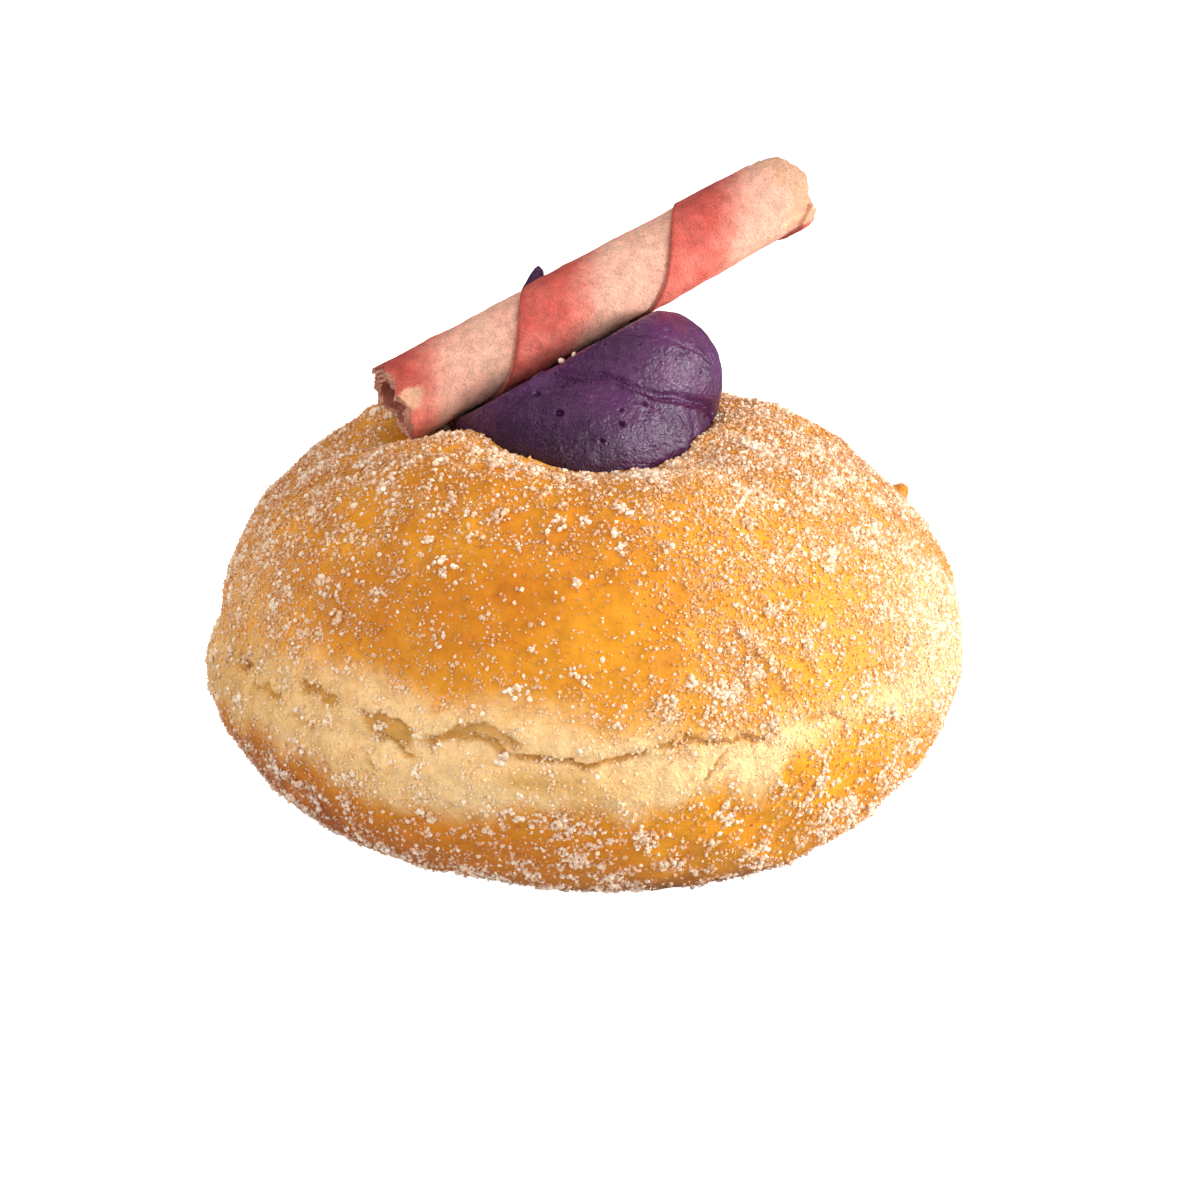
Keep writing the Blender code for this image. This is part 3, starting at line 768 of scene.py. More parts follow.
class Material:
    """A procedural material under construction, with object coordinates in mm."""

    def __init__(self, name, roughness, specular):
        self.made = bpy.data.materials.new(name)
        self.made.use_nodes = True
        self.tree = self.made.node_tree
        self.shader = self.tree.nodes["Principled BSDF"]
        self.shader.inputs["Roughness"].default_value = roughness
        self.shader.inputs["Specular IOR Level"].default_value = specular
        self.place = output_of(self.tree, "ShaderNodeTexCoord", "Object")

    def attribute(self, name, output="Fac"):
        """A number or colour stored on the mesh."""
        return output_of(self.tree, "ShaderNodeAttribute", output, attribute_name=name)

    def noise(self, size, detail, roughness=0.55, place=None):
        """Noise whose lumps are about `size` mm across."""
        values = {"Vector": place or self.place, "Scale": 1 / (size * MM), "Detail": detail}
        values["Roughness"] = roughness
        return output_of(self.tree, "ShaderNodeTexNoise", "Fac", values)

    def uneven(self, to_low, to_high, size, detail, roughness=0.55):
        """Noise between these values."""
        return self.fit(self.noise(size, detail, roughness), 0.3, 0.7, to_low, to_high)

    def cells(self, size):
        """Distance from the nearest of points about `size` mm apart, in their own spacing."""
        values = {"Vector": self.place, "Scale": 1 / (size * MM)}
        return output_of(self.tree, "ShaderNodeTexVoronoi", "Distance", values)

    def fit(self, value, low, high, to_low=0.0, to_high=1.0):
        """A value mapped from low..high, with its ends held."""
        values = {"Value": value, "From Min": low, "From Max": high, "To Min": to_low, "To Max": to_high}
        return output_of(self.tree, "ShaderNodeMapRange", "Result", values)

    def math(self, operation, first, second):
        """A number worked out from two others."""
        values = {0: first, 1: second}
        return output_of(self.tree, "ShaderNodeMath", "Value", values, operation=operation)

    def shaded(self, colour, factor):
        """A colour made lighter or darker."""
        values = {0: colour, 1: factor}
        return output_of(self.tree, "ShaderNodeVectorMath", "Vector", values, operation="MULTIPLY")

    def mix(self, share, first, second, blend="MIX"):
        """A colour turned into an sRGB one by a share."""
        values = {0: share, 6: first, 7: (*linear(second), 1)}
        if not isinstance(first, bpy.types.NodeSocket):
            values[6] = (*linear(first), 1)
        return output_of(self.tree, "ShaderNodeMix", 2, values, data_type="RGBA", blend_type=blend)

    def finished(self, colour, heights, roughness=None):
        """The material with this colour, and with relief of (height of 0 to 1, depth in mm) in turn."""
        links = {"Base Color": colour}
        if roughness:
            links["Roughness"] = roughness
        for height, depth in heights:
            values = {"Height": height, "Distance": depth * MM}
            if "Normal" in links:
                values["Normal"] = links["Normal"]
            links["Normal"] = output_of(self.tree, "ShaderNodeBump", "Normal", values)
        for name, socket in links.items():
            self.tree.links.new(socket, self.shader.inputs[name])
        return self.made


def crust_material():
    """Fried dough: mottled browning, a fine grain, and a dusting of the finest sugar."""
    made = Material("fried_crust", 0.5, specular=0.25)
    shade = made.math("MULTIPLY", made.uneven(0.86, 1.10, 2.6, 4), made.uneven(0.93, 1.06, 0.8, 3))
    toned = made.shaded(made.attribute("tint", "Color"), shade)
    deep = made.fit(made.noise(1.4, 2), 0.52, 0.72, 0.0, 0.30)
    toned = made.mix(deep, toned, (232, 190, 120), "MULTIPLY")
    haze = made.attribute("haze")
    reach, core = made.math("MULTIPLY", haze, 0.48), made.math("MULTIPLY", haze, 0.17)
    grains = made.fit(made.cells(0.40), reach, core)
    finer = made.fit(made.cells(0.25), reach, core)
    dusted = made.math("MAXIMUM", grains, made.math("MULTIPLY", finer, 0.8))
    toned = made.mix(made.math("MULTIPLY", dusted, 0.52), toned, DUST)
    crumb = made.math("MULTIPLY", made.noise(0.9, 4, 0.7), made.attribute("raw"))
    heights = ((made.noise(0.5, 3), 0.10), (made.noise(1.8, 3), 0.18), (crumb, 0.45), (dusted, 0.10))
    return made.finished(toned, heights, made.uneven(0.42, 0.62, 1.2, 2))


def sugar_material():
    """Sugar crystals that take some colour from the crust under them."""
    made = Material("sugar", 0.28, specular=0.55)
    cloud = made.fit(made.noise(0.35, 2), 0.35, 0.65, 0.90, 1.0)
    toned = made.shaded(made.attribute("tint", "Color"), cloud)
    return made.finished(toned, ((made.noise(0.12, 2), 0.02),))


def cream_material():
    """Whipped purple cream: a satin surface with faint streaks, tiny bubbles and a few holes, with painted
    shade low on the left and in the holes, a painted sheen on the upper right and painted glints.
    """
    made = Material("whipped_cream", 0.32, specular=0.58)
    values = {"Vector": made.place, "Scale": (1.0, 1.0, 3.2)}
    streak = made.noise(1.1, 4, place=output_of(made.tree, "ShaderNodeMapping", "Vector", values))
    toned = made.mix(made.uneven(0.0, 1.0, 3.5, 3), (52, 5, 50), (68, 13, 66))
    for share, colour in (
        (made.fit(made.noise(6.0, 2), 0.45, 0.70, 0.0, 0.25), (100, 40, 104)),
        (made.fit(streak, 0.5, 0.75, 0.0, 0.25), (88, 42, 88)),
        # Painted shade: the stored "deep" value darkens the cream low down and on the left
        (made.attribute("deep"), (18, 1, 14)),
        # Painted sheen: lighter purple on the cream's upper right
        (made.attribute("painted_sheen"), (104, 50, 100)),
        # Dark dots in the bubble holes: painted shade
        (made.math("MULTIPLY", made.fit(made.cells(1.5), 0.14, 0.06), 0.8), (20, 4, 20)),
        # Lighter flecks: partly the cream's tiny bubbles, partly painted glints
        (made.fit(made.noise(0.30, 2, 0.6), 0.60, 0.72, 0.0, 0.35), (124, 76, 124)),
    ):
        toned = made.mix(share, toned, colour)
    heights = (
        (streak, 0.10),
        (made.noise(0.7, 4, 0.6), 0.20),
        (made.noise(0.32, 2), 0.14),
        (made.fit(made.cells(1.5), 0.05, 0.16), 0.12),
    )
    return made.finished(toned, heights, made.uneven(0.20, 0.32, 1.5, 3))


def wafer_material():
    """Dry baked wafer with a grainy, mottled skin."""
    made = Material("wafer_skin", 0.68, specular=0.35)
    shade = made.math("MULTIPLY", made.uneven(0.78, 1.16, 1.3, 4), made.uneven(0.76, 1.20, 0.28, 2, 0.7))
    toned = made.shaded(made.attribute("tint", "Color"), shade)
    freckles = made.fit(made.cells(0.9), 0.15, 0.06, 0.0, 0.40)
    toned = made.mix(freckles, toned, (214, 128, 104), "MULTIPLY")
    return made.finished(toned, ((made.noise(0.30, 3, 0.7), 0.34), (made.noise(1.1, 3), 0.16)))


def make_bun():
    """The bun's crust. Returns its grid of points with what sugar needs to lie on it."""
    azimuth, level = np.meshgrid(spread(*BUN_AZIMUTHS), spread(*BUN_LEVELS))
    grid, tears = bun_points(azimuth, level, detail=True)
    grid[..., 2] = np.maximum(grid[..., 2], 0)
    ends, _ = bun_points(np.zeros(2), np.array([0.0, 4.0]))
    bun = globe("bun_crust", grid, ends, "doughnut", "doughnut")
    colours = crust_colours(azimuth, level, grid, tears)
    shares = [sugar_share(azimuth, level, grid, tears, kind[4]) for kind in SUGAR_KINDS]
    haze = np.clip(shares[0] / 1.5 + 0.12, 0, 1)
    raw = band_share(azimuth, level, grid)
    for name, values in (("tint", colours), ("haze", haze), ("raw", raw)):
        store(bun.data, name, with_ends(values))
    bun.data.materials.append(crust_material())
    return grid, colours, shares


def turned_at_random(rng, count):
    """Rotation matrices in random directions."""
    q = rng.normal(size=(count, 4))
    w, x, y, z = (q / np.linalg.norm(q, axis=1, keepdims=True)).T
    rows = [
        [1 - 2 * (y * y + z * z), 2 * (x * y - z * w), 2 * (x * z + y * w)],
        [2 * (x * y + z * w), 1 - 2 * (x * x + z * z), 2 * (y * z - x * w)],
        [2 * (x * z - y * w), 2 * (y * z + x * w), 1 - 2 * (x * x + y * y)],
    ]
    return np.moveaxis(np.array(rows), -1, 0)


def grain_shape(kind):
    """(points, faces) of one crystal of size 1, with four, eight or twenty faces, or boxy."""
    shape = bmesh.new()
    if kind == "box":
        bmesh.ops.create_cube(shape, size=1.5)
    elif kind == "ball":
        bmesh.ops.create_icosphere(shape, subdivisions=1, radius=1)
    elif kind == "four":
        corners = [shape.verts.new(p) for p in ((1, 0, -0.7), (-1, 0, -0.7), (0, 1, 0.7), (0, -1, 0.7))]
        for i, j, k in ((0, 2, 3), (1, 3, 2), (0, 1, 2), (0, 3, 1)):
            shape.faces.new((corners[i], corners[j], corners[k]))
    else:
        ring = [shape.verts.new(p) for p in ((1, 0, 0), (0, 1, 0), (-1, 0, 0), (0, -1, 0))]
        top, bottom = shape.verts.new((0, 0, 1)), shape.verts.new((0, 0, -1))
        for i in range(4):
            shape.faces.new((ring[i], ring[(i + 1) % 4], top))
            shape.faces.new((ring[(i + 1) % 4], ring[i], bottom))
    bmesh.ops.recalc_face_normals(shape, faces=shape.faces)
    shape.verts.index_update()
    points = np.array([v.co[:] for v in shape.verts])
    faces = [[v.index for v in f.verts] for f in shape.faces]
    shape.free()
    return points, faces


def grains(name, kind, places, sizes, under, shares, seed):
    """One piece of many crystals, each with its own stretch, turn and share of the crust's colour."""
    rng = np.random.default_rng(seed)
    count = len(places)
    template, faces = grain_shape(kind)
    stretch = rng.uniform(0.72, 1.3, (count, 1, 3))
    corners = template[None] * stretch * rng.uniform(0.82, 1.18, (count, len(template), 1))
    corners = np.einsum("nij,nkj->nki", turned_at_random(rng, count), corners)
    points = places[:, None] + corners * sizes[:, None, None]
    offsets = np.arange(count)[:, None, None] * len(template)
    faces = (np.array(faces)[None] + offsets).reshape(-1, len(faces[0])).tolist()
    piece = object_of(name, points.reshape(-1, 3), faces, "doughnut")
    piece.data.shade_flat()
    share = rng.uniform(*shares, count)
    tint = linear(SUGAR) * (1 - share[:, None]) + under * share[:, None]
    tint = tint * rng.uniform(0.92, 1.06, (count, 1))
    store(piece.data, "tint", np.repeat(tint, len(template), 0))
    return piece


def on_surface(grid, share, colours, count, rng, clustered):
    """Random places on the bun's quads, thickest where the share is largest, with normal and colour.
    A part of them lies in clusters round the others."""
    following = np.concatenate([grid, grid[:, :1]], 1)
    a, b, c, d = following[:-1, :-1], following[:-1, 1:], following[1:, 1:], following[1:, :-1]
    normal = np.cross(c - a, d - b)
    area = np.linalg.norm(normal, axis=-1)
    normal = normal / np.maximum(area, 1e-9)[..., None]
    weight = (area * share[:-1]).ravel()
    chosen = rng.choice(len(weight), count, p=weight / weight.sum())
    s, t = rng.uniform(0, 1, (2, count, 1))
    a, b, c, d, normal = (x.reshape(-1, 3)[chosen] for x in (a, b, c, d, normal))
    place = (a * (1 - s) + b * s) * (1 - t) + (d * (1 - s) + c * s) * t
    under = colours[:-1].reshape(-1, 3)[chosen]
    joining = rng.uniform(size=count) < clustered
    parent = rng.integers(0, count // CLUSTER_MEMBERS, count)[joining]
    aside = rng.normal(size=(joining.sum(), 3)) * CLUSTER_SPREAD
    aside -= (aside * normal[parent]).sum(-1, keepdims=True) * normal[parent]
    place[joining] = place[parent] + aside
    normal[joining] = normal[parent]
    under[joining] = under[parent]
    return place, normal, under


def near_wafer(place, margin):
    """Whether points lie within `margin` of the wafer's surface."""
    start, end = np.array(WAFER_LEFT_END), np.array(WAFER_RIGHT_END)
    share = np.clip((place - start) @ (end - start) / ((end - start) @ (end - start)), 0, 1)
    nearest = start + share[..., None] * (end - start)
    return np.linalg.norm(place - nearest, axis=-1) < WAFER_RADIUS + WAFER_LAP + margin


def beside_wafer(place, margin):
    """Whether points lie within `margin` of the wafer's side, between its ends."""
    start, along, _, _, length = wafer_frame()
    passed = (place - start) @ along
    return near_wafer(place, margin) & (passed > -WAFER_CHIP - margin) & (passed < length + margin)


def in_cream(place, margin):
    """Whether points lie inside the cream."""
    centres, radii, _ = coil_spheres()
    away = np.linalg.norm(place[:, None] - centres[None], axis=-1) - radii
    return away.min(1) < margin


def clump_places():
    """Places of the clumps of coarse sugar, their directions out of the crust, and their sizes."""
    rng = np.random.default_rng(11)
    found, outwards, sizes = [], [], []
    while len(found) < CLUMPS:
        azimuth, level = rng.uniform(-180, 180), rng.uniform(1.25, 2.97)
        radius, _ = bun_profile(np.array(level))
        thickness = 0.35 + 0.65 * max(ridge(level - 2.9, 0.3), float(level < 1.8))
        if rng.uniform() > float(radius) / WAIST_RADIUS * thickness:
            continue
        place = bun_points(np.array([azimuth]), np.array([level]))[0][0]
        normal = bun_points(np.array([azimuth]), np.array([level]), 1.0)[0][0] - place
        size = rng.uniform(*CLUMP_RADIUS)
        if place[2] < CLUMP_LOWEST or near_wafer(place, 2 * size):
            continue
        if any(np.linalg.norm(place - other) < CLUMP_SPACING for other in found):
            continue
        found.append(place)
        outwards.append(normal)
        sizes.append(size)
        # As many numbers as a lump's stretch, corners and turn take keep each clump at its own lump
        rng.uniform(size=3 + 12 + 3)
    return np.array(found), np.array(outwards), np.array(sizes)


def make_sugar(grid, colours, shares):
    """Sugar of four sizes over the crust, and the clumps in which it has stuck together."""
    material = sugar_material()
    for index, (name, kind, count, radii, _, clustered, tinted) in enumerate(SUGAR_KINDS):
        rng = np.random.default_rng(100 + index)
        place, normal, under = on_surface(grid, shares[index], colours, count, rng, clustered)
        sizes = rng.uniform(*radii, len(place))
        clear = ~beside_wafer(place, 0.8) & ~in_cream(place, 0.4)
        place, normal, under, sizes = (x[clear] for x in (place, normal, under, sizes))
        middle = place + normal * (sizes * rng.uniform(0.0, 0.6, len(sizes)))[:, None]
        middle[:, 2] = np.maximum(middle[:, 2], 1.6 * sizes)
        piece = grains(name, kind, middle, sizes, under, tinted, seed=200 + index)
        piece.data.materials.append(material)
    middle, sizes = clump_grains()
    piece = grains("sugar_clumps", "ball", middle, sizes, plain(GOLD, middle), (0.15, 0.65), seed=300)
    piece.data.materials.append(material)


def clump_grains():
    """(middles, radii) of the grains in the clumps and of those fallen on the cream."""
    rng = np.random.default_rng(7)
    place, normal, size = clump_places()
    size, normal = size[:, None, None], normal[:, None]
    spreads = rng.normal(size=(len(place), CLUMP_GRAINS, 3)) * (size * 0.55)
    lifted = np.abs(rng.normal(size=(len(place), CLUMP_GRAINS, 1))) * (size * 0.35)
    flat = spreads - (spreads * normal).sum(-1, keepdims=True) * normal
    middle = (place[:, None] + flat + normal * lifted).reshape(-1, 3)
    sizes = rng.uniform(*CLUMP_GRAIN_RADIUS, len(middle))
    clear = ~beside_wafer(middle, 0.6) & ~in_cream(middle, 0.4)
    fallen, rays, _ = cream_points(*np.array(CREAM_GRAINS).T)
    middle = np.concatenate([middle[clear], fallen + rays * 0.25])
    return middle, np.concatenate([sizes[clear], np.full(len(fallen), CREAM_GRAIN_RADIUS)])


def make_flake():
    """The loose flake of crust that stands off the bun's right shoulder."""
    azimuth, level, half_sizes = FLAKE
    place = bun_points(np.array([azimuth]), np.array([level]))[0][0]
    shape = bmesh.new()
    bmesh.ops.create_icosphere(shape, subdivisions=4, radius=1)
    points = np.array([v.co[:] for v in shape.verts]) * half_sizes
    faces = [[v.index for v in f.verts] for f in shape.faces]
    shape.free()
    points[:, 1] += 0.25 * np.sin(points[:, 2] * 1.7)
    tilt, turn = math.radians(FLAKE_TILT), math.radians(azimuth)
    points = points @ np.array(
        [[math.cos(tilt), 0, -math.sin(tilt)], [0, 1, 0], [math.sin(tilt), 0, math.cos(tilt)]]
    )
    points = points @ np.array(
        [[math.cos(turn), math.sin(turn), 0], [-math.sin(turn), math.cos(turn), 0], [0, 0, 1]]
    )
    points = points * (1 + 0.12 * plane_waves(points, 1.6, seed=71)[:, None]) + place
    flake = object_of("crust_flake", points, faces, "doughnut")
    golden = 0.35 + 0.3 * plane_waves(points, 2, seed=72)
    store(flake.data, "tint", mixed(plain(BROWNED, points), HONEY, golden))
    store(flake.data, "haze", np.full(len(points), 0.8))
    store(flake.data, "raw", np.zeros(len(points)))
    flake.data.materials.append(bpy.data.materials["fried_crust"])


def coil_spheres():
    """(centres, radii, whether in the upper fold) of the balls whose envelope is the cream."""
    table = np.array(COIL)
    turns = np.linspace(table[0, 0], table[-1, 0], COIL_STEPS)
    away, height, radius = (smooth_along(table[:, 0], table[:, k], turns) for k in (1, 2, 3))
    angle = -2 * math.pi * turns
    x = COIL_CENTRE[0] + away * np.cos(angle)
    y = COIL_CENTRE[1] + away * np.sin(angle)
    centres = np.stack([x, y, height], -1)
    centres = np.concatenate([centres, [CREAM_PLUG[:3], CREAM_FILL[:3]]])
    upper = np.concatenate([turns > UPPER_TURN, [False, True]])
    return centres, np.concatenate([radius, [CREAM_PLUG[3], CREAM_FILL[3]]]), upper


def cream_points(azimuth, elevation):
    """Points where rays from the cream's core leave the coil's envelope, and those rays."""
    core = np.array(CREAM_CORE)
    a, e = np.radians(azimuth), np.radians(elevation)
    rays = np.stack([np.cos(a) * np.cos(e), np.sin(a) * np.cos(e), np.sin(e) + 0 * a], -1)
    centres, radii, upper = coil_spheres()
    reaches = [np.zeros(rays.shape[:-1]), np.zeros(rays.shape[:-1])]
    for centre, radius, fold in zip(centres - core, radii, upper):
        along = rays @ centre
        inside = along**2 - centre @ centre + radius**2
        leave = np.where(inside > 0, along + np.sqrt(np.maximum(inside, 0)), 0)
        reaches[int(fold)] = np.maximum(reaches[int(fold)], leave)
    low, high = reaches
    middle, half_width, sharper = SHARP_SIDE
    blend = CREAM_BLEND * (1 - sharper * ridge(turned(middle, azimuth), half_width))
    share = np.clip(0.5 + 0.5 * (high - low) / blend, 0, 1)
    reach = low * (1 - share) + high * share + blend * share * (1 - share)
    reach = np.minimum(reach, pressed_reach(core, rays, reach))
    return core + rays * reach[..., None], rays, reach


def pressed_reach(core, rays, reach):
    """How far the cream reaches where the wafer has pressed it down, along a slope in front of it."""
    start, along, _, _, _ = wafer_frame()
    slope = math.radians(PRESSED_SLOPE)
    backwards = np.array([0, math.cos(slope), -math.sin(slope)])
    lift = np.cross(along, backwards)
    lift /= np.linalg.norm(lift)
    rising = rays @ lift
    room = -(WAFER_RADIUS + PRESSED_CLEAR) - (core - start) @ lift
    limit = np.where(rising > 0.01, room / np.maximum(rising, 0.01), 1e3)
    there = core + rays * np.minimum(limit, reach)[..., None] - start
    ahead = -(there - (there @ along)[..., None] * along) @ backwards
    return limit + (1 - ease(ahead, -1.5, 0.0)) * 1e3


def cream_relief(azimuth, elevation, reach, points):
    """How far the cream's folds, ridges and bubbles stand out, in mm."""
    small = 0.10 * plane_waves(points, 7, seed=81) + 0.05 * plane_waves(points, 2.6, seed=82)
    small += 0.018 * plane_waves(points, 0.9, seed=83)
    degree = np.radians(reach)
    wander = 0.25 * plane_waves(points, 5, seed=85)
    (edge,), _ = along_line(CREAM_FOLD, azimuth)
    above = (elevation - edge) * degree + wander
    start, end = CREAM_FOLD[0][0], CREAM_FOLD[-1][0]
    ends = ease(azimuth, start, start + 12) * ease(end - azimuth, 0, 10)
    small += ends * (0.55 * ridge(above + 0.30, 0.30) - 0.60 * ridge(above - 0.45, 0.60))
    for rise, line in CREAM_RIDGES:
        (middle,), inside = along_line(line, azimuth)
        above = (elevation - middle) * degree + 0.4 * wander
        small += ease(inside, 0, 8) * rise * (ridge(above, 0.4) - ridge(above - 0.7, 0.4))
    for depth, line in CREAM_CREASES:
        (side,), inside = along_line(line, elevation)
        aside = (azimuth - side) * degree + 0.5 * wander
        small -= ease(inside, 0, 4) * depth * (ridge(aside, 0.6) - 0.5 * ridge(aside - 1.4, 0.8))
    for where, high, radius, depth in CREAM_PITS:
        upwards = (elevation - high) * degree
        sideways = turned(where, azimuth) * degree * math.cos(math.radians(high))
        away = np.hypot(sideways * 0.8 + 0.2 * upwards, upwards)
        small += 0.06 * ridge(away - radius * 1.5, 0.15) - depth * ease(radius * 1.25 - away, 0, radius)
    return small


def make_cream():
    """The swirl of cream, with its folds, small ripples and burst bubbles, cut back under the wafer."""
    azimuth, elevation = np.meshgrid(spread(*CREAM_AZIMUTHS), spread(*CREAM_ELEVATIONS))
    grid, rays, reach = cream_points(azimuth, elevation)
    grid = grid + rays * cream_relief(azimuth, elevation, reach, grid)[..., None]
    ends = cream_points(np.zeros(2), np.array([-90.0, 90.0]))[0]
    cream = globe("cream_swirl", grid, ends, "cream", "cream")
    across, height = grid[..., 0], grid[..., 2]
    uneven = 0.7 + 0.3 * plane_waves(grid, 4, seed=86)
    # Painted shade: darker low down and towards the left
    deep = 0.9 * ease(height, 60, 50) * (0.2 + 0.8 * ease(across, 9, -9))
    # Painted sheen: lighter on the upper right
    painted_sheen = 0.5 * uneven * ease(across, 2, 12) * ease(height, 54, 60)
    material = cream_material()
    tip = cream_tip()
    for name, values in (("deep", deep), ("painted_sheen", painted_sheen)):
        store(cream.data, name, with_ends(values))
        store(tip.data, name, np.zeros(len(tip.data.vertices)))
    cream.data.materials.append(material)
    cut_back(cream)
    tip.data.materials.append(material)


def wafer_room():
    """A plain rod along the wafer and just thicker."""
    places = np.linspace(-WAFER_ROOM_PAST, wafer_frame()[4] + WAFER_ROOM_PAST, 24)
    around, place = np.meshgrid(np.linspace(0, 2 * math.pi, 96, endpoint=False), places)
    side = wafer_ring(place, around, WAFER_RADIUS + WAFER_LAP + WAFER_ROOM + 0 * place)
    ends = wafer_ring(places[[0, -1]], np.zeros(2), np.zeros(2))
    return globe("wafer_room", side, ends, None)


def cut_back(cream):
    """Takes the wafer's room out of the cream."""
    room = wafer_room()
    step = cream.modifiers.new("room", "BOOLEAN")
    step.operation = "DIFFERENCE"
    step.solver = "MANIFOLD"
    step.object = room
    bpy.context.view_layer.objects.active = cream
    bpy.ops.object.modifier_apply(modifier=step.name)
    bpy.data.objects.remove(room)
    cream.data.shade_smooth()
    cream.data.set_sharp_from_angle(angle=math.radians(SHARP_ANGLE))


def cream_tip():
    """The peak that the nozzle drew up behind the wafer."""
    low, high, wide, thin = COIL_TIP
    low, high = np.array(low), np.array(high)
    along = (high - low) / np.linalg.norm(high - low)
    side = np.cross(along, [0, 1, 0])
    side /= np.linalg.norm(side)
    angles = np.linspace(0, 2 * math.pi, TIP_COLUMNS, endpoint=False)[:, None]
    circle = np.cos(angles) * side + np.sin(angles) * np.cross(along, side)
    height = np.linspace(0, 1, TIP_RINGS)[:, None, None]
    grid = low + (high - low) * height + circle * (thin + (wide - thin) * (1 - height) ** 1.15)
    ends = np.array([low, high + along * thin])
    for points in (grid, ends):
        points += 0.12 * plane_waves(points, 2.4, seed=84)[..., None] * side
    return globe("cream_peak", grid, ends, "cream")


def wafer_frame():
    """(left end, unit vectors along the wafer, up from its axis and towards the front, length)."""
    start, end = np.array(WAFER_LEFT_END), np.array(WAFER_RIGHT_END)
    length = np.linalg.norm(end - start)
    along = (end - start) / length
    front = np.cross(along, [0, 0, 1])
    front /= np.linalg.norm(front)
    return start, along, np.cross(front, along), front, length


def wafer_ends(angle, length):
    """Where the wafer ends at each angle round it: broken on the left, uneven on the right."""
    chips = 0.5 * np.sin(2 * angle + 0.6) + 0.6 * np.sin(5 * angle) + 0.4 * np.sin(9 * angle + 2)
    left = WAFER_CHIP * chips + 0.12 * np.sin(17 * angle + 1) + 0.08 * np.sin(31 * angle)
    right = length - 0.6 + 1.2 * np.sin(angle) + 0.25 * np.sin(6 * angle + 1)
    aside = (angle - 0.75 + math.pi) % (2 * math.pi) - math.pi
    right = right + 0.7 * ridge(aside, 0.5) + 0.07 * np.sin(19 * angle)
    return left, right


def wafer_ring(along_axis, angle, radius):
    """Points at those places along the wafer and angles round it: 0 is its top, 90 degrees its front."""
    start, along, up, front, _ = wafer_frame()
    outwards = np.cos(angle)[..., None] * up + np.sin(angle)[..., None] * front
    return start + along_axis[..., None] * along + radius[..., None] * outwards


def wafer_colours(phase, angle, place, points):
    """Colour of the wafer's outside: red behind each lap's edge, fading to cream, with painted shade on
    its upper side and at the laps' edges and painted light on its lower side.
    """
    wander = 0.025 * plane_waves(points, 9, seed=91) + 0.012 * plane_waves(points, 2.2, seed=92)
    across = phase + wander
    red = ease(across, 0.52, 0.26)
    # Painted shade and light: the red is darker, with mottling, on the wafer's upper side and pinker on
    # its lower side; it also darkens towards the left end
    upper = ease(np.cos(angle - 0.2), 0.15, 0.75)
    darker = upper * (0.16 + 0.16 * plane_waves(points, 3.2, seed=98)) + 0.10 * ease(place, 9, 2)
    # Dark line at each lap's edge: partly the caramelised edge, partly painted shade under the step
    seam = ridge(np.minimum(phase, 1 - phase), 0.010)
    bare = wafer_flake(angle, place, points)
    lower = ridge(angle - 2.0, 0.35) * ease(4.5 + wander * 20 - place, 0, 2.5)
    colours = plain(WAFER_CREAM, points)
    for colour, share in (
        (WAFER_PINK, 0.16 + 0.07 * plane_waves(points, 5, seed=93)),
        (WAFER_PINK, 0.55 * ease(across, 0.62, 0.40)),
        (WAFER_RED, red * (0.94 + 0.06 * plane_waves(points, 3, seed=94))),
        (WAFER_DARK_RED, red * darker),
        (WAFER_PINK, red * (1 - upper) * (0.5 + 0.3 * plane_waves(points, 2.8, seed=99))),
        (WAFER_DARK_RED, 0.75 * seam),
        (WAFER_BARE, bare),
        (WAFER_PINK, 0.85 * lower * (1 - bare)),
    ):
        colours = mixed(colours, colour, share)
    # Painted light: the wafer's lower front side is made paler
    return colours * (1 + 0.28 * ridge(angle + 0 * place - 2.1, 0.6))[..., None]


def wafer_flake(angle, place, points):
    """1 where the outer skin has flaked off, beside the broken end's front and at the right end's top."""
    ragged = 0.5 * plane_waves(points, 2.4, seed=97)
    left = np.hypot((angle - 1.28) * WAFER_RADIUS / 1.5, (place - 1.0) / 2.0) + 0.3 * ragged
    length = wafer_frame()[4]
    right = (length - 4.6 + 2.2 * np.cos(angle - 0.9)) - place + ragged
    return np.maximum(ease(left, 1.05, 0.80), ease(right, 0.05, -0.15) * (np.cos(angle - 0.9) > 0.1))


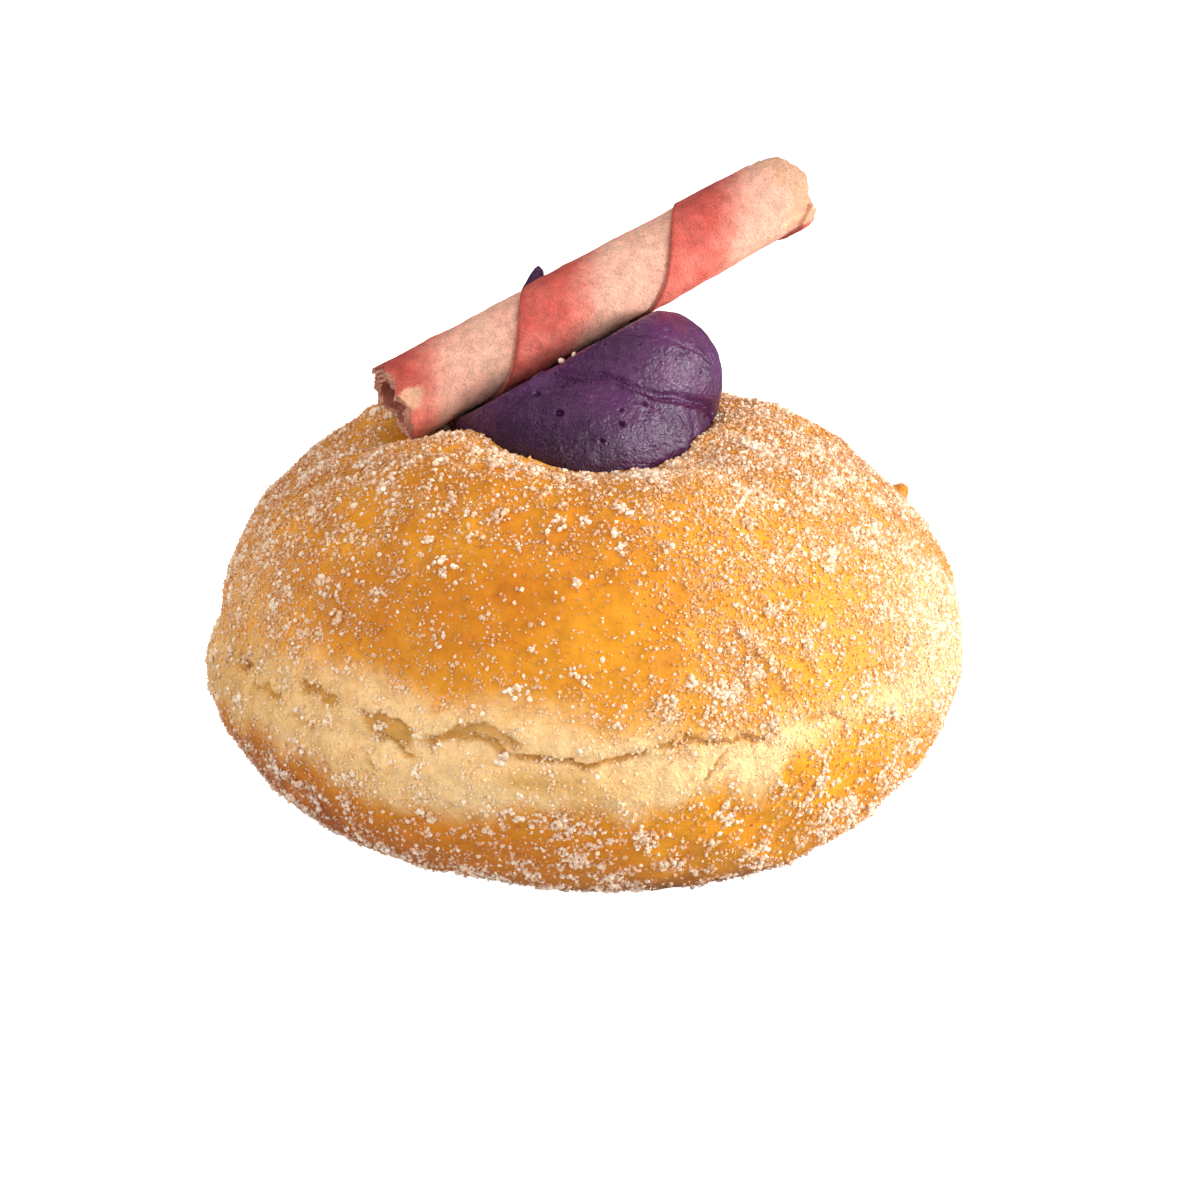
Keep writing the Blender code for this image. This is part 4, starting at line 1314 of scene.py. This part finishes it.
def wafer_rows():
    """(rows of points, their colours) of the rolled wafer: a tube whose outside is a ribbon wound in a
    helix, each turn lapping the last. Its ends show the rolled layers."""
    length = wafer_frame()[4]
    angles = np.linspace(0, 2 * math.pi, WAFER_COLUMNS + 1)
    left, right = wafer_ends(angles, length)
    turns = np.arange(-2, math.ceil(length / WAFER_PITCH) + 3)
    in_turn = np.linspace(0, 0.993, WAFER_ROWS_PER_TURN)
    phase = (turns[:, None] + in_turn[None, :]).ravel()[:, None]
    helix = WAFER_FIRST_LAP + WAFER_PITCH * (0.25 - angles / (2 * math.pi))
    wound = helix + WAFER_PITCH * phase
    place = np.clip(wound, left, right)
    across = np.where(place == wound, phase % 1, (place - helix) / WAFER_PITCH % 1)
    radius = WAFER_RADIUS + WAFER_LAP * (1 - across)
    outside = wafer_ring(place, angles + 0 * place, radius)
    rough = 0.05 * plane_waves(outside, 4, seed=95) + 0.02 * plane_waves(outside, 1.3, seed=96)
    rough -= WAFER_FLAKED * wafer_flake(angles + 0 * place, place, outside)
    outside = wafer_ring(place, angles + 0 * place, radius + rough)
    thinnest, widest = WAFER_BORE
    bore = thinnest + (widest - thinnest) * (angles / (2 * math.pi)) ** 0.8
    bore[-1] = bore[0]
    share = np.linspace(0, 1, WAFER_RIM_ROWS)[1:-1, None]
    rims = []
    for edge, radii, sign in ((right, radius[-1] + rough[-1], -1), (left, radius[0] + rough[0], 1)):
        ring = radii + (bore - radii) * share
        layer = (radii - ring) / WAFER_LAYER + angles / (2 * math.pi)
        groove = 0.5 - 0.5 * np.cos(2 * math.pi * layer)
        rim = wafer_ring(edge + sign * WAFER_GROOVE * groove, angles + 0 * ring, ring)
        rims.append((rim, mixed(plain(WAFER_CREAM, rim), WAFER_INNER, 0.2 + 0.7 * groove)))
    (right_rim, right_colours), (left_rim, left_colours) = rims
    share = np.linspace(1, 0, WAFER_BORE_ROWS)[:, None]
    inside = wafer_ring(left + share * (right - left), angles + 0 * share, bore + 0 * share)
    rows = np.concatenate([outside, right_rim, inside, left_rim[::-1]])
    colours = [wafer_colours(across, angles, place, outside), right_colours]
    colours += [plain(WAFER_INNER, inside), left_colours[::-1]]
    return rows, np.concatenate(colours)


def closed_tube(name, rows, colours, slot, replaced):
    """A closed band of rows of points, whose last column and last row meet the first ones.
    Points that coincide are merged, so rows that run past an end close up on its rim."""
    count, columns = rows.shape[:2]
    faces = []
    for row in range(count):
        following = (row + 1) % count
        for i in range(columns - 1):
            here, there = row * columns + i, following * columns + i
            faces.append((here, here + 1, there + 1, there))
    made = object_of(name, rows.reshape(-1, 3), faces, slot, replaced)
    store(made.data, "tint", colours.reshape(-1, 3))
    shape = bmesh.new()
    shape.from_mesh(made.data)
    bmesh.ops.remove_doubles(shape, verts=shape.verts, dist=0.00002)
    bmesh.ops.dissolve_degenerate(shape, edges=shape.edges, dist=0.000005)
    bmesh.ops.recalc_face_normals(shape, faces=shape.faces)
    shape.to_mesh(made.data)
    shape.free()
    return made


def make_wafer():
    """The rolled wafer."""
    wafer = closed_tube("rolled_wafer", *wafer_rows(), "wafer", "wafer")
    wafer.data.set_sharp_from_angle(angle=math.radians(SHARP_ANGLE))
    wafer.data.materials.append(wafer_material())


def make_camera():
    """The photograph's view: level with the horizon, looking down on the doughnut's front."""
    data = bpy.data.cameras.new("camera")
    data.sensor_width = CAMERA_SENSOR
    data.lens = CAMERA_SENSOR * CAMERA_DISTANCE / CAMERA_WIDTH_AT_TARGET
    data.clip_start = 0.01
    camera = bpy.data.objects.new("camera", data)
    down = math.radians(CAMERA_ELEVATION)
    away = np.array([0, -math.cos(down), math.sin(down)]) * CAMERA_DISTANCE
    camera.location = (np.array(CAMERA_TARGET) + away) * MM
    camera.rotation_euler = (math.pi / 2 - down, 0, 0)
    bpy.context.scene.collection.objects.link(camera)
    bpy.context.scene.camera = camera


def make_lights():
    """Soft light: strong from the right, even from above, weaker from the left."""
    for name, place, width, power, reflected in LIGHTS:
        data = bpy.data.lights.new(name, "AREA")
        data.energy = power
        data.size = width
        light = bpy.data.objects.new(name, data)
        light.visible_glossy = reflected
        towards = np.array([0, 0, LIT_HEIGHT]) - np.array(place)
        tilt = math.pi / 2 + math.atan2(towards[2], math.hypot(towards[0], towards[1]))
        light.location = place
        light.rotation_euler = (tilt, 0, math.atan2(-towards[0], towards[1]))
        bpy.context.scene.collection.objects.link(light)


def make_floor():
    """A floor that glows white, and neither lights the doughnut nor shows in its gloss."""
    half = FLOOR_HALF_WIDTH
    mesh = bpy.data.meshes.new("floor")
    corners = [(-half, -half, 0), (half, -half, 0), (half, half, 0), (-half, half, 0)]
    mesh.from_pydata(corners, [], [(0, 1, 2, 3)])
    floor = bpy.data.objects.new("floor", mesh)
    bpy.context.scene.collection.objects.link(floor)
    material = bpy.data.materials.new("floor_white")
    material.use_nodes = True
    shader = material.node_tree.nodes["Principled BSDF"]
    shader.inputs["Base Color"].default_value = (0.8, 0.8, 0.8, 1)
    shader.inputs["Roughness"].default_value = 1.0
    shader.inputs["Emission Color"].default_value = (1, 1, 1, 1)
    shader.inputs["Emission Strength"].default_value = 1.0
    mesh.materials.append(material)
    floor.visible_diffuse = False
    floor.visible_glossy = False


def make_world():
    """White light from all round, a little weaker from above and much weaker in what gloss shows."""
    world = bpy.data.worlds.new("studio")
    world.use_nodes = True
    tree = world.node_tree
    towards = output_of(tree, "ShaderNodeTexCoord", "Generated")
    height = output_of(tree, "ShaderNodeSeparateXYZ", "Z", {"Vector": towards})
    values = {"Value": height, "From Min": -0.3, "From Max": 0.3, "To Min": WORLD_BELOW}
    values["To Max"] = WORLD_ABOVE
    even = output_of(tree, "ShaderNodeMapRange", "Result", values)
    glossy = output_of(tree, "ShaderNodeLightPath", "Is Glossy Ray")
    values = {"Value": glossy, "To Min": 1.0, "To Max": WORLD_REFLECTED}
    share = output_of(tree, "ShaderNodeMapRange", "Result", values)
    strength = output_of(tree, "ShaderNodeMath", "Value", {0: even, 1: share}, operation="MULTIPLY")
    background = tree.nodes["Background"].inputs
    tree.links.new(strength, background["Strength"])
    background["Color"].default_value = (1, 1, 1, 1)
    bpy.context.scene.world = world
    bpy.context.scene.view_settings.view_transform = "Standard"


make_camera()
make_floor()
make_world()
make_lights()
make_sugar(*make_bun())
make_flake()
make_wafer()
make_cream()
